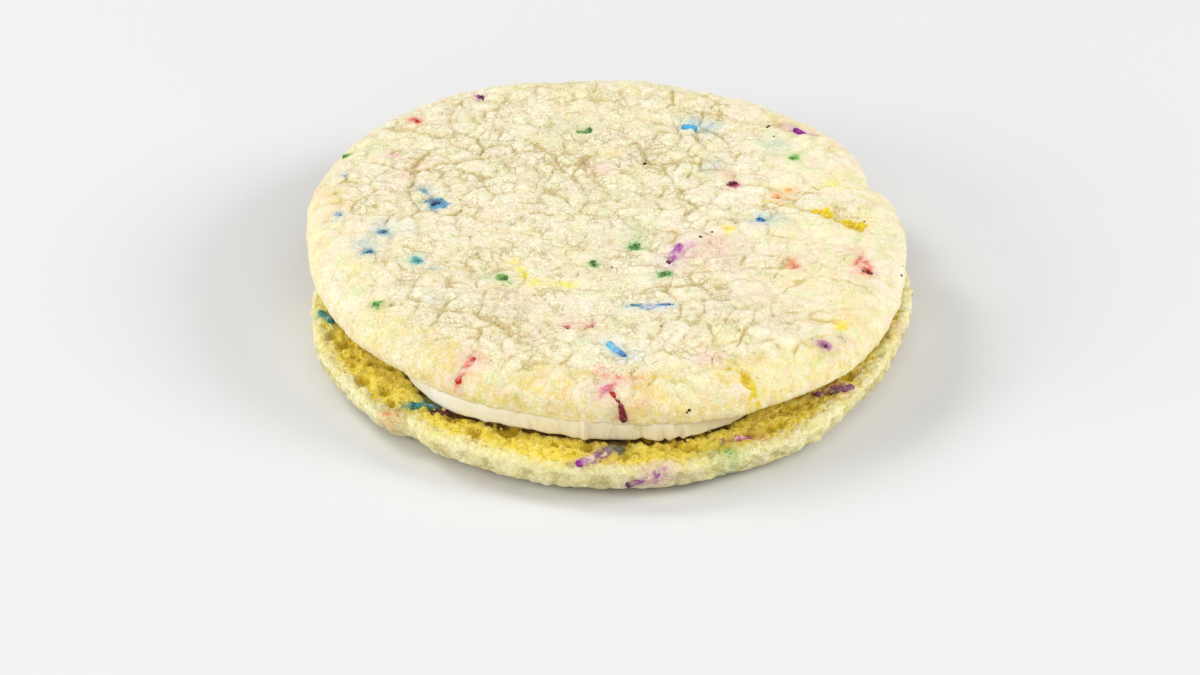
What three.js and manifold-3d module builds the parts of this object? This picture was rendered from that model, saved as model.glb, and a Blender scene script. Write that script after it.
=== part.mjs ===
// A buttercream sandwich cookie: two thin, unevenly round sugar cookies baked with rod-shaped
// sugar sprinkles, laid flat base to flat base on a layer of ivory buttercream.
// Millimetres, +Z up, seen from the front along +Y. Angles run counterclockwise from +X.

import * as THREE from "three";
import { mergeVertices } from "three/addons/utils/BufferGeometryUtils.js";
import Module from "manifold-3d";

const wasm = await Module();
wasm.setup();

const TURN = 2 * Math.PI;
const DEGREE = Math.PI / 180;

// Heights above the table. The cookies lie base to base, with a thin gap to the cream.
const BOTTOM_BASE_Z = 7.0;
const CREAM_UNDERSIDE_Z = 7.3;
const CREAM_TOP_Z = 10.0;
const TOP_BASE_Z = 10.3;

// The step in the upper cookie's outline beside its back right lobe.
const NOTCH = { from: 14, full: 21, gone: 33, depth: 2 };

// The break in the lower cookie's rim: a nick in the outline, and the part to its left sags.
const NICK = { from: 221, full: 225, gone: 234, depth: 1.9 };
const SAG = { angle: 225, depth: 0.9, fade: 20, from: 3, reach: 12 };

// The upper cookie, crinkled face up. Its outline is a circle with a few waves added.
const TOP = {
  x: -0.5,
  y: 3.5,
  radius: 53.1,
  waves: [
    { times: 2, cos: -1.5, sin: -1.9 },
    { times: 3, cos: -0.2, sin: 0.3 },
    { times: 4, cos: -0.5, sin: 0.2 },
    { times: 9, cos: 0.16, sin: 0.1 },
    { times: 14, cos: -0.1, sin: 0.12 },
  ],
  thickness: 6.8,
  shoulder: 7,
  belt: 1.5,
  baseRounding: 0.9,
  faceRings: 20,
  edgePoints: 120,
  shoulderRings: 5,
  dent: NOTCH,
  face: topFace,
  base: () => 0,
};

// The lower cookie, turned over: its flat base faces up and its crinkled face lies on the table.
const BOTTOM = {
  x: 1.5,
  y: -5.9,
  radius: 51.4,
  waves: [
    { times: 2, cos: -0.6, sin: 2.2 },
    { times: 3, cos: -1.45, sin: 0.6 },
    { times: 8, cos: 0.22, sin: -0.14 },
    { times: 13, cos: 0.14, sin: 0.16 },
  ],
  thickness: BOTTOM_BASE_Z,
  shoulder: 6.5,
  belt: 1.6,
  baseRounding: 1.1,
  faceRings: 14,
  edgePoints: 108,
  shoulderRings: 4,
  dent: NICK,
  face: bottomFace,
  base: bottomBase,
};

// The rings of a cookie's base: their share of the edge's radius and their number of points.
const BASE_RINGS = [
  { share: 0.945, count: 120 },
  { share: 0.9, count: 90 },
  { share: 0.82, count: 60 },
  { share: 0.6, count: 30 },
  { share: 0.3, count: 12 },
  { share: 0, count: 1 },
];

// The crinkled face: small lumps in the middle, wider puffs on the rim, and slow swells under both.
const CRINKLES = { size: 5.6, depth: 0.9, level: 0.55, from: 4, full: 10 };
const PUFFS = { size: 9, depth: 0.5, level: 0.5 };
const SWELLS = [
  { size: 19, depth: 0.28, seed: 31 },
  { size: 8, depth: 0.16, seed: 37 },
];

// How far the near lip of the long crack stands up, and how fast that fades to its sides and ends.
const LIP = { rise: 0.45, fade: 4, endFrom: 0.4, endTo: 0.75 };

// The lumps of the face that lies on the table, and the rough band round the flat base.
const UNDERSIDE = { size: 6.4, clear: 0.7, depth: 0.4, swellSize: 14, swell: 0.12 };
const ROUGH_BAND = { size: 2.3, depth: 0.16, from: 6, to: 10 };

// The buttercream stands back from both rims, except where it was pressed out in front. Its
// middle lies between the middles of the two cookies.
const CREAM = {
  x: (TOP.x + BOTTOM.x) / 2,
  y: (TOP.y + BOTTOM.y) / 2,
  radius: 42.4,
  edgePoints: 120,
  bulgeFrom: 218,
  bulgeTo: 303,
  bulgeFade: 9,
  wander: 1.1,
  flush: 0.2,
  rib: 0.28,
};

// What the lower cookie stands on: a flat spot in its middle and a ring of touching lumps.
const REST = { spot: 12.5, spotFade: 6, lumps: 8, ringRadius: 38.5, lumpFlat: 1.8, lumpFade: 4 };

// A sugar rod, with blunt ends.
const ROD = { length: 6.3, radius: 0.75, sides: 5, blunt: 0.45 };

// A rod that stands in the crumb: how proud its end is, its slope, and how far it may turn.
const STANDING = { proud: 0.4, leastSlope: 50, mostSlope: 75, turn: 80, sunk: 0.8 };

// Rods lying in the upper cookie: x, y, heading, pitch below level, and how far they stand proud.
// The two that run down the shoulder spread less as seen from above.
const LYING_ON_TOP = [
  { x: -31.2, y: 12.8, heading: -66, pitch: 6, proud: 0.5 },
  { x: 10.8, y: -6.1, heading: -114, pitch: 4, proud: 0.7 },
  { x: 6.8, y: -23.1, heading: 0, pitch: 0, proud: 0.35 },
  { x: 1.2, y: -37.8, heading: -57, pitch: 3, proud: 0.65 },
  { x: -24.1, y: -41, heading: -130, pitch: 0, proud: 0.8, spread: 4.4 },
  { x: 1, y: -49.2, heading: -52, pitch: 0, proud: 0.55, spread: 4.4 },
  { x: 13.3, y: 35.3, heading: -10, pitch: 12, proud: 0.5 },
  { x: 31.5, y: 38.1, heading: -35, pitch: 8, proud: 0.55 },
  { x: -3.9, y: 35.5, heading: -12, pitch: 18, proud: 0.4 },
  { x: 43.6, y: -8.8, heading: -75, pitch: 16, proud: 0.4 },
  { x: -43, y: 29, heading: 10, pitch: 14, proud: 0.3 },
];

// Rods that stand steeply in the crumb, so that only one end shows: x and y of that end.
const STANDING_IN_TOP = [
  [-18.1, -13.6],
  [3.9, -3.3],
  [-2.7, -8.8],
  [9.1, -12.2],
  [-32.8, -8.8],
  [-41.2, -5.7],
  [-38.7, 0.4],
  [-45.8, 20.3],
  [-46.3, 6.5],
  [-22.7, 47.2],
  [-33.8, 41.2],
  [31, 25.6],
  [25.8, 5.3],
  [20.5, 1.5],
  [28.5, 14],
  [36.6, -34.5],
  [-11.4, -14.5],
  [20.9, 18],
  [31.5, -10],
];

// Rods that show on the lower cookie's flat base, beyond the edge of the upper one.
const LYING_ON_BOTTOM = [
  { x: -3.1, y: -55.2, heading: 38, pitch: 5, proud: 0.5 },
  { x: -34, y: -38.2, heading: 10, pitch: 6, proud: 0.45 },
  { x: 39.3, y: -33.6, heading: 30, pitch: 8, proud: 0.4 },
  { x: -48.2, y: -9.6, heading: 120, pitch: 6, proud: 0.35 },
  { x: 23.7, y: -48.5, heading: 15, pitch: 9, proud: 0.35 },
];

// A rod along the lower cookie's front side: its two ends, where the cookie lies.
const SIDE_ROD = { from: [2.6, -57.5, 3.2], to: [8.2, -57.75, 5.7] };

// Rods in the lower cookie's rim and in the crinkled face it lies on, spread by rule: how many
// there are and how far in from the edge they lie.
const RIM_RODS = { count: 8, inFrom: 1.2, inTo: 3 };
const FACE_RODS = { count: 6, inFrom: 18, inTo: 34, pitch: 2, proud: 0.15, clear: 0.3 };

// Cracks in the upper cookie: the way they run, how wide they gape and how deep they go.
const CRACKS = [
  { path: [[24.8, 11.2], [32.5, 8.5], [36.7, 6.4], [39.5, 3.8], [43.2, 0.7]], width: 2.4, depth: 2.6 },
  { path: [[20.5, 17.2], [26.5, 18.6], [33, 17.4]], width: 0.9, depth: 0.9 },
  { path: [[20.6, -42.6], [21.9, -45.4], [22.6, -48.3]], width: 1.5, depth: 1.2 },
  { path: [[-36.5, 18.5], [-29, 24], [-20, 27], [-8, 30]], width: 0.9, depth: 0.9 },
  { path: [[-32, -2], [-20, 1.5], [-9, -1.5]], width: 0.8, depth: 0.7 },
  { path: [[-9.5, -28], [-6, -30], [-2, -28.2]], width: 1.1, depth: 0.8 },
  { path: [[2, 27], [12, 24.5], [22, 27]], width: 0.8, depth: 0.7 },
];

// How a crack's blade clears the surface, tapers to its ends and wavers from its path.
const BLADE = { clear: 0.8, taper: 0.7, leastOpen: 0.1, leastDepth: 0.05, waver: 0.22 };

// Round pits in the lower cookie's flat base, where it shows.
const PIT_FLATNESS = 0.55;
const PITS = { count: 16, least: 0.8, most: 1.5, from: 150, to: 395, inFrom: 2.2, inTo: 8.5 };

// A repeatable number from 0 to 1 for a pair of whole numbers.
function lot(i, j, seed) {
  let h = Math.imul(i, 374761393) + Math.imul(j, 668265263) + Math.imul(seed, 1442695041);
  h = Math.imul(h ^ (h >>> 13), 1274126177);
  h ^= h >>> 16;
  return (h >>> 0) / 4294967296;
}

function smooth(from, to, value) {
  return THREE.MathUtils.smoothstep(value, from, to);
}

// Gentle hills between -1 and 1, about one size apart.
function hills(x, y, size, seed) {
  const i = Math.floor(x / size);
  const j = Math.floor(y / size);
  const u = smooth(0, 1, x / size - i);
  const v = smooth(0, 1, y / size - j);
  const near = THREE.MathUtils.lerp(lot(i, j, seed), lot(i + 1, j, seed), u);
  const far = THREE.MathUtils.lerp(lot(i, j + 1, seed), lot(i + 1, j + 1, seed), u);
  return 2 * THREE.MathUtils.lerp(near, far, v) - 1;
}

// Round lumps about one size across with creases between them: 1 on a lump, 0 in a crease.
function lumps(x, y, size, seed) {
  const i = Math.floor(x / size);
  const j = Math.floor(y / size);
  let nearest = Infinity;
  let second = Infinity;
  for (let a = i - 2; a <= i + 2; a += 1) {
    for (let b = j - 2; b <= j + 2; b += 1) {
      const dx = (a + lot(a, b, seed)) * size - x;
      const dy = (b + lot(a, b, seed + 1)) * size - y;
      const distance = Math.hypot(dx, dy);
      second = Math.min(second, Math.max(nearest, distance));
      nearest = Math.min(nearest, distance);
    }
  }
  const across = Math.min(1, (second - nearest) / (0.6 * size));
  return 1 - (1 - across) ** 2;
}

// The angle from one bearing to another in degrees, between -180 and 180.
function bearing(from, to) {
  return THREE.MathUtils.euclideanModulo(to - from + 180, 360) - 180;
}

function edgeRadius(cookie, angle) {
  let radius = cookie.radius - dentDepth(cookie.dent, angle / DEGREE);
  for (const { times, cos, sin } of cookie.waves) {
    radius += cos * Math.cos(times * angle) + sin * Math.sin(times * angle);
  }
  return radius;
}

// How far a dent takes the outline in at a bearing: it opens quickly and closes slowly.
function dentDepth(dent, degrees) {
  const past = bearing(dent.full, degrees) + dent.full;
  return dent.depth * smooth(dent.from, dent.full, past) * (1 - smooth(dent.full, dent.gone, past));
}

// 1 just left of the break in the lower rim, fading away from it, and 0 on its right.
function leftOfBreak(degrees) {
  const past = bearing(SAG.angle, degrees);
  return past < 0 ? Math.exp(past / SAG.fade) : 0;
}

// Where a point stands on a cookie: its bearing from the centre and its distance in from the edge.
function placeOn(cookie, x, y) {
  const angle = Math.atan2(y - cookie.y, x - cookie.x);
  const inset = edgeRadius(cookie, angle) - Math.hypot(x - cookie.x, y - cookie.y);
  return { angle, inset };
}

// The crinkled face's height over the flat base, away from the rounded shoulder.
function topFace(x, y, inset) {
  const middle = smooth(CRINKLES.from, CRINKLES.full, inset);
  const crinkles = middle * CRINKLES.depth * (lumps(x, y, CRINKLES.size, 11) - CRINKLES.level);
  const puffs = (1 - middle) * PUFFS.depth * (lumps(x, y, PUFFS.size, 23) - PUFFS.level);
  let height = TOP.thickness + crinkles + puffs + overhang(x, y);
  for (const { size, depth, seed } of SWELLS) {
    height += depth * hills(x, y, size, seed);
  }
  return height;
}

// The near lip of the long crack stands up, and the cookie behind it lies lower.
function overhang(x, y) {
  const [start, , middle, , end] = CRACKS[0].path;
  const along = new THREE.Vector2(end[0] - start[0], end[1] - start[1]);
  const across = new THREE.Vector2(x - middle[0], y - middle[1]);
  const share = across.dot(along) / along.lengthSq();
  const side = along.cross(across) / along.length();
  const ends = 1 - smooth(LIP.endFrom, LIP.endTo, Math.abs(share));
  return -Math.sign(side) * LIP.rise * Math.exp(-Math.abs(side) / LIP.fade) * ends;
}

// The face that lies on the table: how far it stays clear of it.
function clearance(x, y) {
  const fromMiddle = Math.hypot(x - BOTTOM.x, y - BOTTOM.y);
  let free = smooth(REST.spot, REST.spot + REST.spotFade, fromMiddle);
  for (let k = 0; k < REST.lumps; k += 1) {
    const angle = (k / REST.lumps) * TURN;
    const dx = x - BOTTOM.x - REST.ringRadius * Math.cos(angle);
    const dy = y - BOTTOM.y - REST.ringRadius * Math.sin(angle);
    free = Math.min(free, smooth(REST.lumpFlat, REST.lumpFade, Math.hypot(dx, dy)));
  }
  const lump = UNDERSIDE.depth * lumps(x, y, UNDERSIDE.size, 41);
  const swell = UNDERSIDE.swell * hills(x, y, UNDERSIDE.swellSize, 43);
  return free * (UNDERSIDE.clear - lump + swell);
}

function bottomFace(x, y) {
  return BOTTOM.thickness - clearance(x, y);
}

// The lower cookie's base: flat under the cream, rough at the rim, and sagging left of the break.
function bottomBase(x, y, inset) {
  const { angle } = placeOn(BOTTOM, x, y);
  const sag = SAG.depth * leftOfBreak(angle / DEGREE) * (1 - smooth(SAG.from, SAG.reach, inset));
  const rough = ROUGH_BAND.depth * (1 + hills(x, y, ROUGH_BAND.size, 53));
  return sag + rough * (1 - smooth(ROUGH_BAND.from, ROUGH_BAND.to, inset));
}

// The height of a cookie's upper surface over its base, shoulder included.
function surfaceHeight(cookie, x, y) {
  const { inset } = placeOn(cookie, x, y);
  const face = cookie.face(x, y, inset);
  if (inset >= cookie.shoulder) return face;
  const cosine = 1 - Math.max(0, inset) / cookie.shoulder;
  return cookie.belt + (face - cookie.belt) * Math.sqrt(1 - cosine ** 2);
}

function ring(count, pointAt) {
  return Array.from({ length: count }, (unused, i) => pointAt((i / count) * TURN));
}

// The faces between two rings whose points may differ in number.
function stitch(faces, startA, countA, startB, countB) {
  const stepsA = countA > 1 ? countA : 0;
  const stepsB = countB > 1 ? countB : 0;
  let i = 0;
  let j = 0;
  while (i < stepsA || j < stepsB) {
    const alongB = i >= stepsA || (j < stepsB && (j + 0.5) / countB <= (i + 0.5) / countA);
    if (alongB) {
      faces.push(startA + (i % countA), startB + j, startB + ((j + 1) % countB));
      j += 1;
    } else {
      faces.push(startA + i, startB + (j % countB), startA + ((i + 1) % countA));
      i += 1;
    }
  }
}

// A closed solid through rings of points from one pole to the other. Each ring runs
// counterclockwise as seen from the first pole, and a ring of one point closes an end.
function solidThrough(rings) {
  const faces = [];
  let start = 0;
  for (let k = 0; k + 1 < rings.length; k += 1) {
    stitch(faces, start, rings[k].length, start + rings[k].length, rings[k + 1].length);
    start += rings[k].length;
  }
  const vertProperties = new Float32Array(rings.flat().flatMap((point) => point.toArray()));
  const triVerts = new Uint32Array(faces);
  return new wasm.Manifold(new wasm.Mesh({ numProp: 3, vertProperties, triVerts }));
}

// A cookie on its flat base, before its sprinkles and cracks.
function cookieSolid(cookie) {
  const around = (angle, radius, heightAt) => {
    const x = cookie.x + radius * Math.cos(angle);
    const y = cookie.y + radius * Math.sin(angle);
    return new THREE.Vector3(x, y, heightAt(x, y, edgeRadius(cookie, angle) - radius));
  };
  const rings = [];
  for (let k = 0; k <= cookie.faceRings; k += 1) {
    const share = k / cookie.faceRings;
    rings.push(
      ring(Math.max(1, 6 * k), (angle) =>
        around(angle, share * (edgeRadius(cookie, angle) - cookie.shoulder), cookie.face),
      ),
    );
  }
  for (let k = cookie.shoulderRings - 1; k >= 0; k -= 1) {
    const lean = (k / cookie.shoulderRings) * 90 * DEGREE;
    const inset = cookie.shoulder * (1 - Math.cos(lean));
    rings.push(
      ring(cookie.edgePoints, (angle) =>
        around(angle, edgeRadius(cookie, angle) - inset, (x, y) => {
          const face = cookie.face(x, y, inset);
          return cookie.belt + (face - cookie.belt) * Math.sin(lean);
        }),
      ),
    );
  }
  for (const lean of [45 * DEGREE, 90 * DEGREE]) {
    const inset = cookie.baseRounding * (1 - Math.cos(lean));
    rings.push(
      ring(cookie.edgePoints, (angle) =>
        around(angle, edgeRadius(cookie, angle) - inset, (x, y) => {
          const base = cookie.base(x, y, inset);
          return cookie.belt + (base - cookie.belt) * Math.sin(lean);
        }),
      ),
    );
  }
  for (const { share, count } of BASE_RINGS) {
    rings.push(
      ring(count, (angle) => around(angle, share * edgeRadius(cookie, angle), cookie.base)),
    );
  }
  return solidThrough(rings);
}

// A rod from one end to the other, as a five-sided bar with blunt ends.
function rodSolid(from, to) {
  const forward = new THREE.Vector3().subVectors(to, from).normalize();
  const turned = new THREE.Quaternion().setFromUnitVectors(new THREE.Vector3(0, 0, -1), forward);
  const section = (radius, distance) =>
    ring(radius > 0 ? ROD.sides : 1, (angle) =>
      new THREE.Vector3(radius * Math.cos(angle), radius * Math.sin(angle), -distance)
        .applyQuaternion(turned)
        .add(from),
    );
  const length = from.distanceTo(to);
  return solidThrough([
    section(0, 0),
    section(ROD.radius, ROD.blunt),
    section(ROD.radius, length - ROD.blunt),
    section(0, length),
  ]);
}

// A rod lying along a surface under its two ends, tipped down by its pitch. The side is 1 for
// a surface that faces up and -1 for one that faces down.
function lyingRod(heightAt, rod, side = 1) {
  const reach = (rod.spread ?? ROD.length) / 2;
  const heading = rod.heading * DEGREE;
  const rise = reach * Math.sin(rod.pitch * DEGREE);
  const end = (way) => {
    const x = rod.x + way * reach * Math.cos(heading);
    const y = rod.y + way * reach * Math.sin(heading);
    return new THREE.Vector3(x, y, heightAt(x, y) + side * (rod.proud - ROD.radius - way * rise));
  };
  return rodSolid(end(-1), end(1));
}

// A rod sunk steeply into a cookie towards its middle, so that its end just breaks the surface.
function standingRod(cookie, x, y, seed) {
  const height = surfaceHeight(cookie, x, y);
  const turn = (lot(seed, 1, 61) - 0.5) * STANDING.turn * DEGREE;
  const heading = Math.atan2(cookie.y - y, cookie.x - x) + turn;
  const slope = THREE.MathUtils.lerp(STANDING.leastSlope, STANDING.mostSlope, lot(seed, 2, 61)) * DEGREE;
  const length = Math.min(ROD.length, (STANDING.sunk * height) / Math.sin(slope));
  const tip = new THREE.Vector3(x, y, height + STANDING.proud);
  const down = new THREE.Vector3(
    Math.cos(slope) * Math.cos(heading),
    Math.cos(slope) * Math.sin(heading),
    -Math.sin(slope),
  );
  return rodSolid(tip, tip.clone().addScaledVector(down, length));
}

// A V-shaped blade along a path on a cookie, which cuts a crack that tapers to nothing.
function crackBlade(heightAt, crack) {
  const corners = crack.path.map(([x, y]) => new THREE.Vector3(x, y, 0));
  const curve = new THREE.CatmullRomCurve3(corners);
  const steps = 2 * corners.length;
  const rings = [];
  for (let k = 0; k <= steps; k += 1) {
    const middle = curve.getPoint(k / steps);
    const along = curve.getTangent(k / steps);
    const side = new THREE.Vector3(-along.y, along.x, 0);
    const open = Math.sin((k / steps) * Math.PI) ** BLADE.taper;
    const depth = Math.max(BLADE.leastDepth, crack.depth * open);
    const gape = (crack.width / 2) * Math.max(BLADE.leastOpen, open) * (1 + BLADE.clear / depth);
    const half = Math.min(gape, crack.width);
    const waver = BLADE.waver * crack.width * (lot(k, steps, 67) - 0.5);
    middle.addScaledVector(side, waver).setZ(heightAt(middle.x, middle.y));
    const above = middle.clone().setZ(middle.z + BLADE.clear);
    const left = above.clone().addScaledVector(side, half);
    const right = above.clone().addScaledVector(side, -half);
    const bottom = middle.clone().setZ(middle.z - depth);
    rings.push([left, bottom, right]);
  }
  const centre = ([a, b, c]) => [a.clone().add(b).add(c).divideScalar(3)];
  return solidThrough([centre(rings[0]), ...rings, centre(rings.at(-1))]);
}

// A shallow round pit, as a ball that dips into the flat base from below it.
function pitSolid(radius, x, y) {
  const ball = new THREE.IcosahedronGeometry(radius, 1).scale(1, 1, PIT_FLATNESS).translate(x, y, 0);
  ball.deleteAttribute("normal");
  ball.deleteAttribute("uv");
  const merged = mergeVertices(ball, 1e-4);
  const vertProperties = merged.getAttribute("position").array;
  return new wasm.Manifold(
    new wasm.Mesh({ numProp: 3, vertProperties, triVerts: new Uint32Array(merged.index.array) }),
  );
}

function topCookie() {
  const heightAt = (x, y) => surfaceHeight(TOP, x, y);
  const rods = [
    ...LYING_ON_TOP.map((rod) => lyingRod(heightAt, rod)),
    ...STANDING_IN_TOP.map(([x, y], k) => standingRod(TOP, x, y, k)),
  ];
  const cracks = CRACKS.map((crack) => crackBlade(heightAt, crack));
  const cracked = cookieSolid(TOP).subtract(wasm.Manifold.union(cracks));
  return wasm.Manifold.union([cracked, ...rods]);
}

// Points spread round the lower cookie, between two bearings and two distances in from its edge.
function spreadRound({ count, inFrom, inTo, from = 0, to = 360 }, seed) {
  return Array.from({ length: count }, (unused, k) => {
    const angle = THREE.MathUtils.lerp(from, to, (k + 0.7 * lot(k, 1, seed)) / count) * DEGREE;
    const radius = edgeRadius(BOTTOM, angle) - THREE.MathUtils.lerp(inFrom, inTo, lot(k, 2, seed));
    const x = BOTTOM.x + radius * Math.cos(angle);
    const y = BOTTOM.y + radius * Math.sin(angle);
    return { x, y, share: lot(k, 3, seed) };
  });
}

// The lower cookie is shaped on its base like the upper one, and is mirrored upside down later.
function bottomCookie() {
  const baseAt = (x, y) => bottomBase(x, y, placeOn(BOTTOM, x, y).inset);
  const clearOfTable = BOTTOM.thickness - FACE_RODS.clear;
  const faceAt = (x, y) => Math.min(surfaceHeight(BOTTOM, x, y), clearOfTable);
  const turnedOver = ([x, y, z]) => new THREE.Vector3(x, y, BOTTOM_BASE_Z - z);
  const rods = LYING_ON_BOTTOM.map((rod) => lyingRod(baseAt, rod, -1));
  rods.push(rodSolid(turnedOver(SIDE_ROD.from), turnedOver(SIDE_ROD.to)));
  spreadRound(RIM_RODS, 71).forEach(({ x, y }, k) => {
    rods.push(standingRod(BOTTOM, x, y, k + STANDING_IN_TOP.length));
  });
  spreadRound(FACE_RODS, 79).forEach(({ x, y, share }) => {
    rods.push(lyingRod(faceAt, { ...FACE_RODS, x, y, heading: 360 * share }));
  });
  const pits = spreadRound(PITS, 73).map(({ x, y, share }) =>
    pitSolid(THREE.MathUtils.lerp(PITS.least, PITS.most, share), x, y),
  );
  const pitted = cookieSolid(BOTTOM).subtract(wasm.Manifold.union(pits));
  return wasm.Manifold.union([pitted, ...rods]);
}

// How far the upper cookie's base reaches from the cream's middle at a bearing.
function reachOfTop(angle) {
  let radius = TOP.radius;
  for (let k = 0; k < 4; k += 1) {
    const x = CREAM.x + radius * Math.cos(angle);
    const y = CREAM.y + radius * Math.sin(angle);
    radius += placeOn(TOP, x, y).inset;
  }
  return radius - TOP.baseRounding;
}

// The cream's edge: a wandering line inside both rims that reaches the upper rim in front.
function creamRadius(angle) {
  const degrees = angle / DEGREE;
  const waver = 0.6 * Math.sin(3 * angle + 1) + 0.5 * Math.sin(5 * angle) + 0.35 * Math.cos(9 * angle);
  const fade = CREAM.bulgeFade / 2;
  const opens = smooth(-fade, fade, bearing(CREAM.bulgeFrom, degrees));
  const closes = 1 - smooth(-fade, fade, bearing(CREAM.bulgeTo, degrees));
  const flush = reachOfTop(angle) + CREAM.flush;
  return THREE.MathUtils.lerp(CREAM.radius + CREAM.wander * waver, flush, opens * closes);
}

// A ring of the cream at a share of its height and a share of its reach from the middle.
function creamRing(count, height, reach, standsOut = 0, ribbed = 0) {
  return ring(count, (angle) => {
    const k = Math.round((angle / TURN) * count) % count;
    const drag = lot(k, 1, 83) + 0.6 * lot(k, Math.round(4 * height), 89) - 0.8;
    const radius = reach * creamRadius(angle) + standsOut + ribbed * CREAM.rib * drag;
    const z = THREE.MathUtils.lerp(CREAM_UNDERSIDE_Z, CREAM_TOP_Z, height);
    return new THREE.Vector3(CREAM.x + radius * Math.cos(angle), CREAM.y + radius * Math.sin(angle), z);
  });
}

function creamSolid() {
  return solidThrough([
    creamRing(1, 1, 0),
    creamRing(12, 1, 0.3),
    creamRing(48, 1, 0.75),
    creamRing(CREAM.edgePoints, 1, 1, -0.8, 0.4),
    creamRing(CREAM.edgePoints, 0.88, 1, -0.1, 1),
    creamRing(CREAM.edgePoints, 0.5, 1, 0.15, 1),
    creamRing(CREAM.edgePoints, 0.14, 1, -0.15, 1),
    creamRing(CREAM.edgePoints, 0, 1, -0.7, 0.4),
    creamRing(48, 0, 0.75),
    creamRing(12, 0, 0.3),
    creamRing(1, 0, 0),
  ]);
}

function meshOf(name, solid, material) {
  const made = solid.getMesh();
  const geometry = new THREE.BufferGeometry();
  geometry.setAttribute("position", new THREE.BufferAttribute(made.vertProperties, 3));
  geometry.setIndex(new THREE.BufferAttribute(made.triVerts, 1));
  geometry.computeVertexNormals();
  const mesh = new THREE.Mesh(geometry, material);
  mesh.name = name;
  return mesh;
}

function crumbMaterial(color) {
  return new THREE.MeshStandardMaterial({ color, roughness: 0.85, metalness: 0 });
}

function creamMaterial() {
  return new THREE.MeshStandardMaterial({ color: 0xf3ecd6, roughness: 0.45, metalness: 0 });
}

const lower = meshOf("bottom_cookie", bottomCookie(), crumbMaterial(0xe6d28c));
lower.scale.z = -1;
lower.position.z = BOTTOM_BASE_Z;

const filling = meshOf("buttercream", creamSolid(), creamMaterial());

const upper = meshOf("top_cookie", topCookie(), crumbMaterial(0xf0e2bb));
upper.position.z = TOP_BASE_Z;

const sandwich = new THREE.Group();
sandwich.add(lower, filling, upper);

// The whole stands with its middle over the origin and its lowest point on the table.
const extent = new THREE.Box3().setFromObject(sandwich);
const middle = extent.getCenter(new THREE.Vector3());
sandwich.position.set(-middle.x, -middle.y, -extent.min.z);

const part = new THREE.Group();
part.add(sandwich);

export default part;
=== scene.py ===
import math

import bpy
import numpy as np
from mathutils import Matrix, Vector


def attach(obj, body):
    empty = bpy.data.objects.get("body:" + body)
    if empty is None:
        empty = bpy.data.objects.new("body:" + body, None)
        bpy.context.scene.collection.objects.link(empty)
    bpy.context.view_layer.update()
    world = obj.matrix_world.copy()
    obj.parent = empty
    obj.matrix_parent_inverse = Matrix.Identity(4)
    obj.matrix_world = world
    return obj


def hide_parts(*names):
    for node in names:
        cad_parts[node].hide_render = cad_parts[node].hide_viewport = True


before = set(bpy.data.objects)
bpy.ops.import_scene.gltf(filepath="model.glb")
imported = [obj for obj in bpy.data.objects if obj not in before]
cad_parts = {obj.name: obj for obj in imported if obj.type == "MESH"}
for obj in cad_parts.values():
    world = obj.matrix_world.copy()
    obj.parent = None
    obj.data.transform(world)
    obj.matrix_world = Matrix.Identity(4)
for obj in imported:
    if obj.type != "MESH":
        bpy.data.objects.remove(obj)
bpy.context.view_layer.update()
print("frame loaded")

# Buttercream sandwich cookie. Sizes in the dictionaries are millimetres, angles are degrees
# counterclockwise from +X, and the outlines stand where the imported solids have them.
mm = 0.001
standsAt = Vector((0.217, 0.530, 0))  # from the outlines' own middle to the middle of the whole
shift = np.array(standsAt)


# small sums that the shapes share

def smooth(low, high, value):
    share = np.clip((value - low) / (high - low), 0, 1)
    return share * share * (3 - 2 * share)


def lot(i, j, seed, k=0):  # a repeatable number from 0 to 1 for whole numbers
    wrap = 0xFFFFFFFF
    h = (i * 374761393 & wrap) + (j * 668265263 & wrap)
    h = h + (k * 2246822519 & wrap) + (seed * 1442695041 & wrap) & wrap
    h = (h ^ (h >> 13)) * 1274126177 & wrap
    return (h ^ (h >> 16)) / 4294967296


def hills(x, y, size, seed):  # gentle hills between -1 and 1
    i, j = np.floor(x / size).astype(np.int64), np.floor(y / size).astype(np.int64)
    u, v = smooth(0, 1, x / size - i), smooth(0, 1, y / size - j)
    near = lot(i, j, seed) * (1 - u) + lot(i + 1, j, seed) * u
    far = lot(i, j + 1, seed) * (1 - u) + lot(i + 1, j + 1, seed) * u
    return 2 * (near * (1 - v) + far * v) - 1


def grain(points, size, seed):  # the same in three directions, for walls and rims
    cell = np.floor(points / size).astype(np.int64)
    u = smooth(0, 1, points / size - cell)
    total = 0
    for corner in range(8):
        step = (corner & 1, corner >> 1 & 1, corner >> 2 & 1)
        weight = 1
        for axis in range(3):
            weight = weight * (u[:, axis] if step[axis] else 1 - u[:, axis])
        total = total + weight * lot(cell[:, 0] + step[0], cell[:, 1] + step[1], seed, cell[:, 2] + step[2])
    return 2 * total - 1


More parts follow.
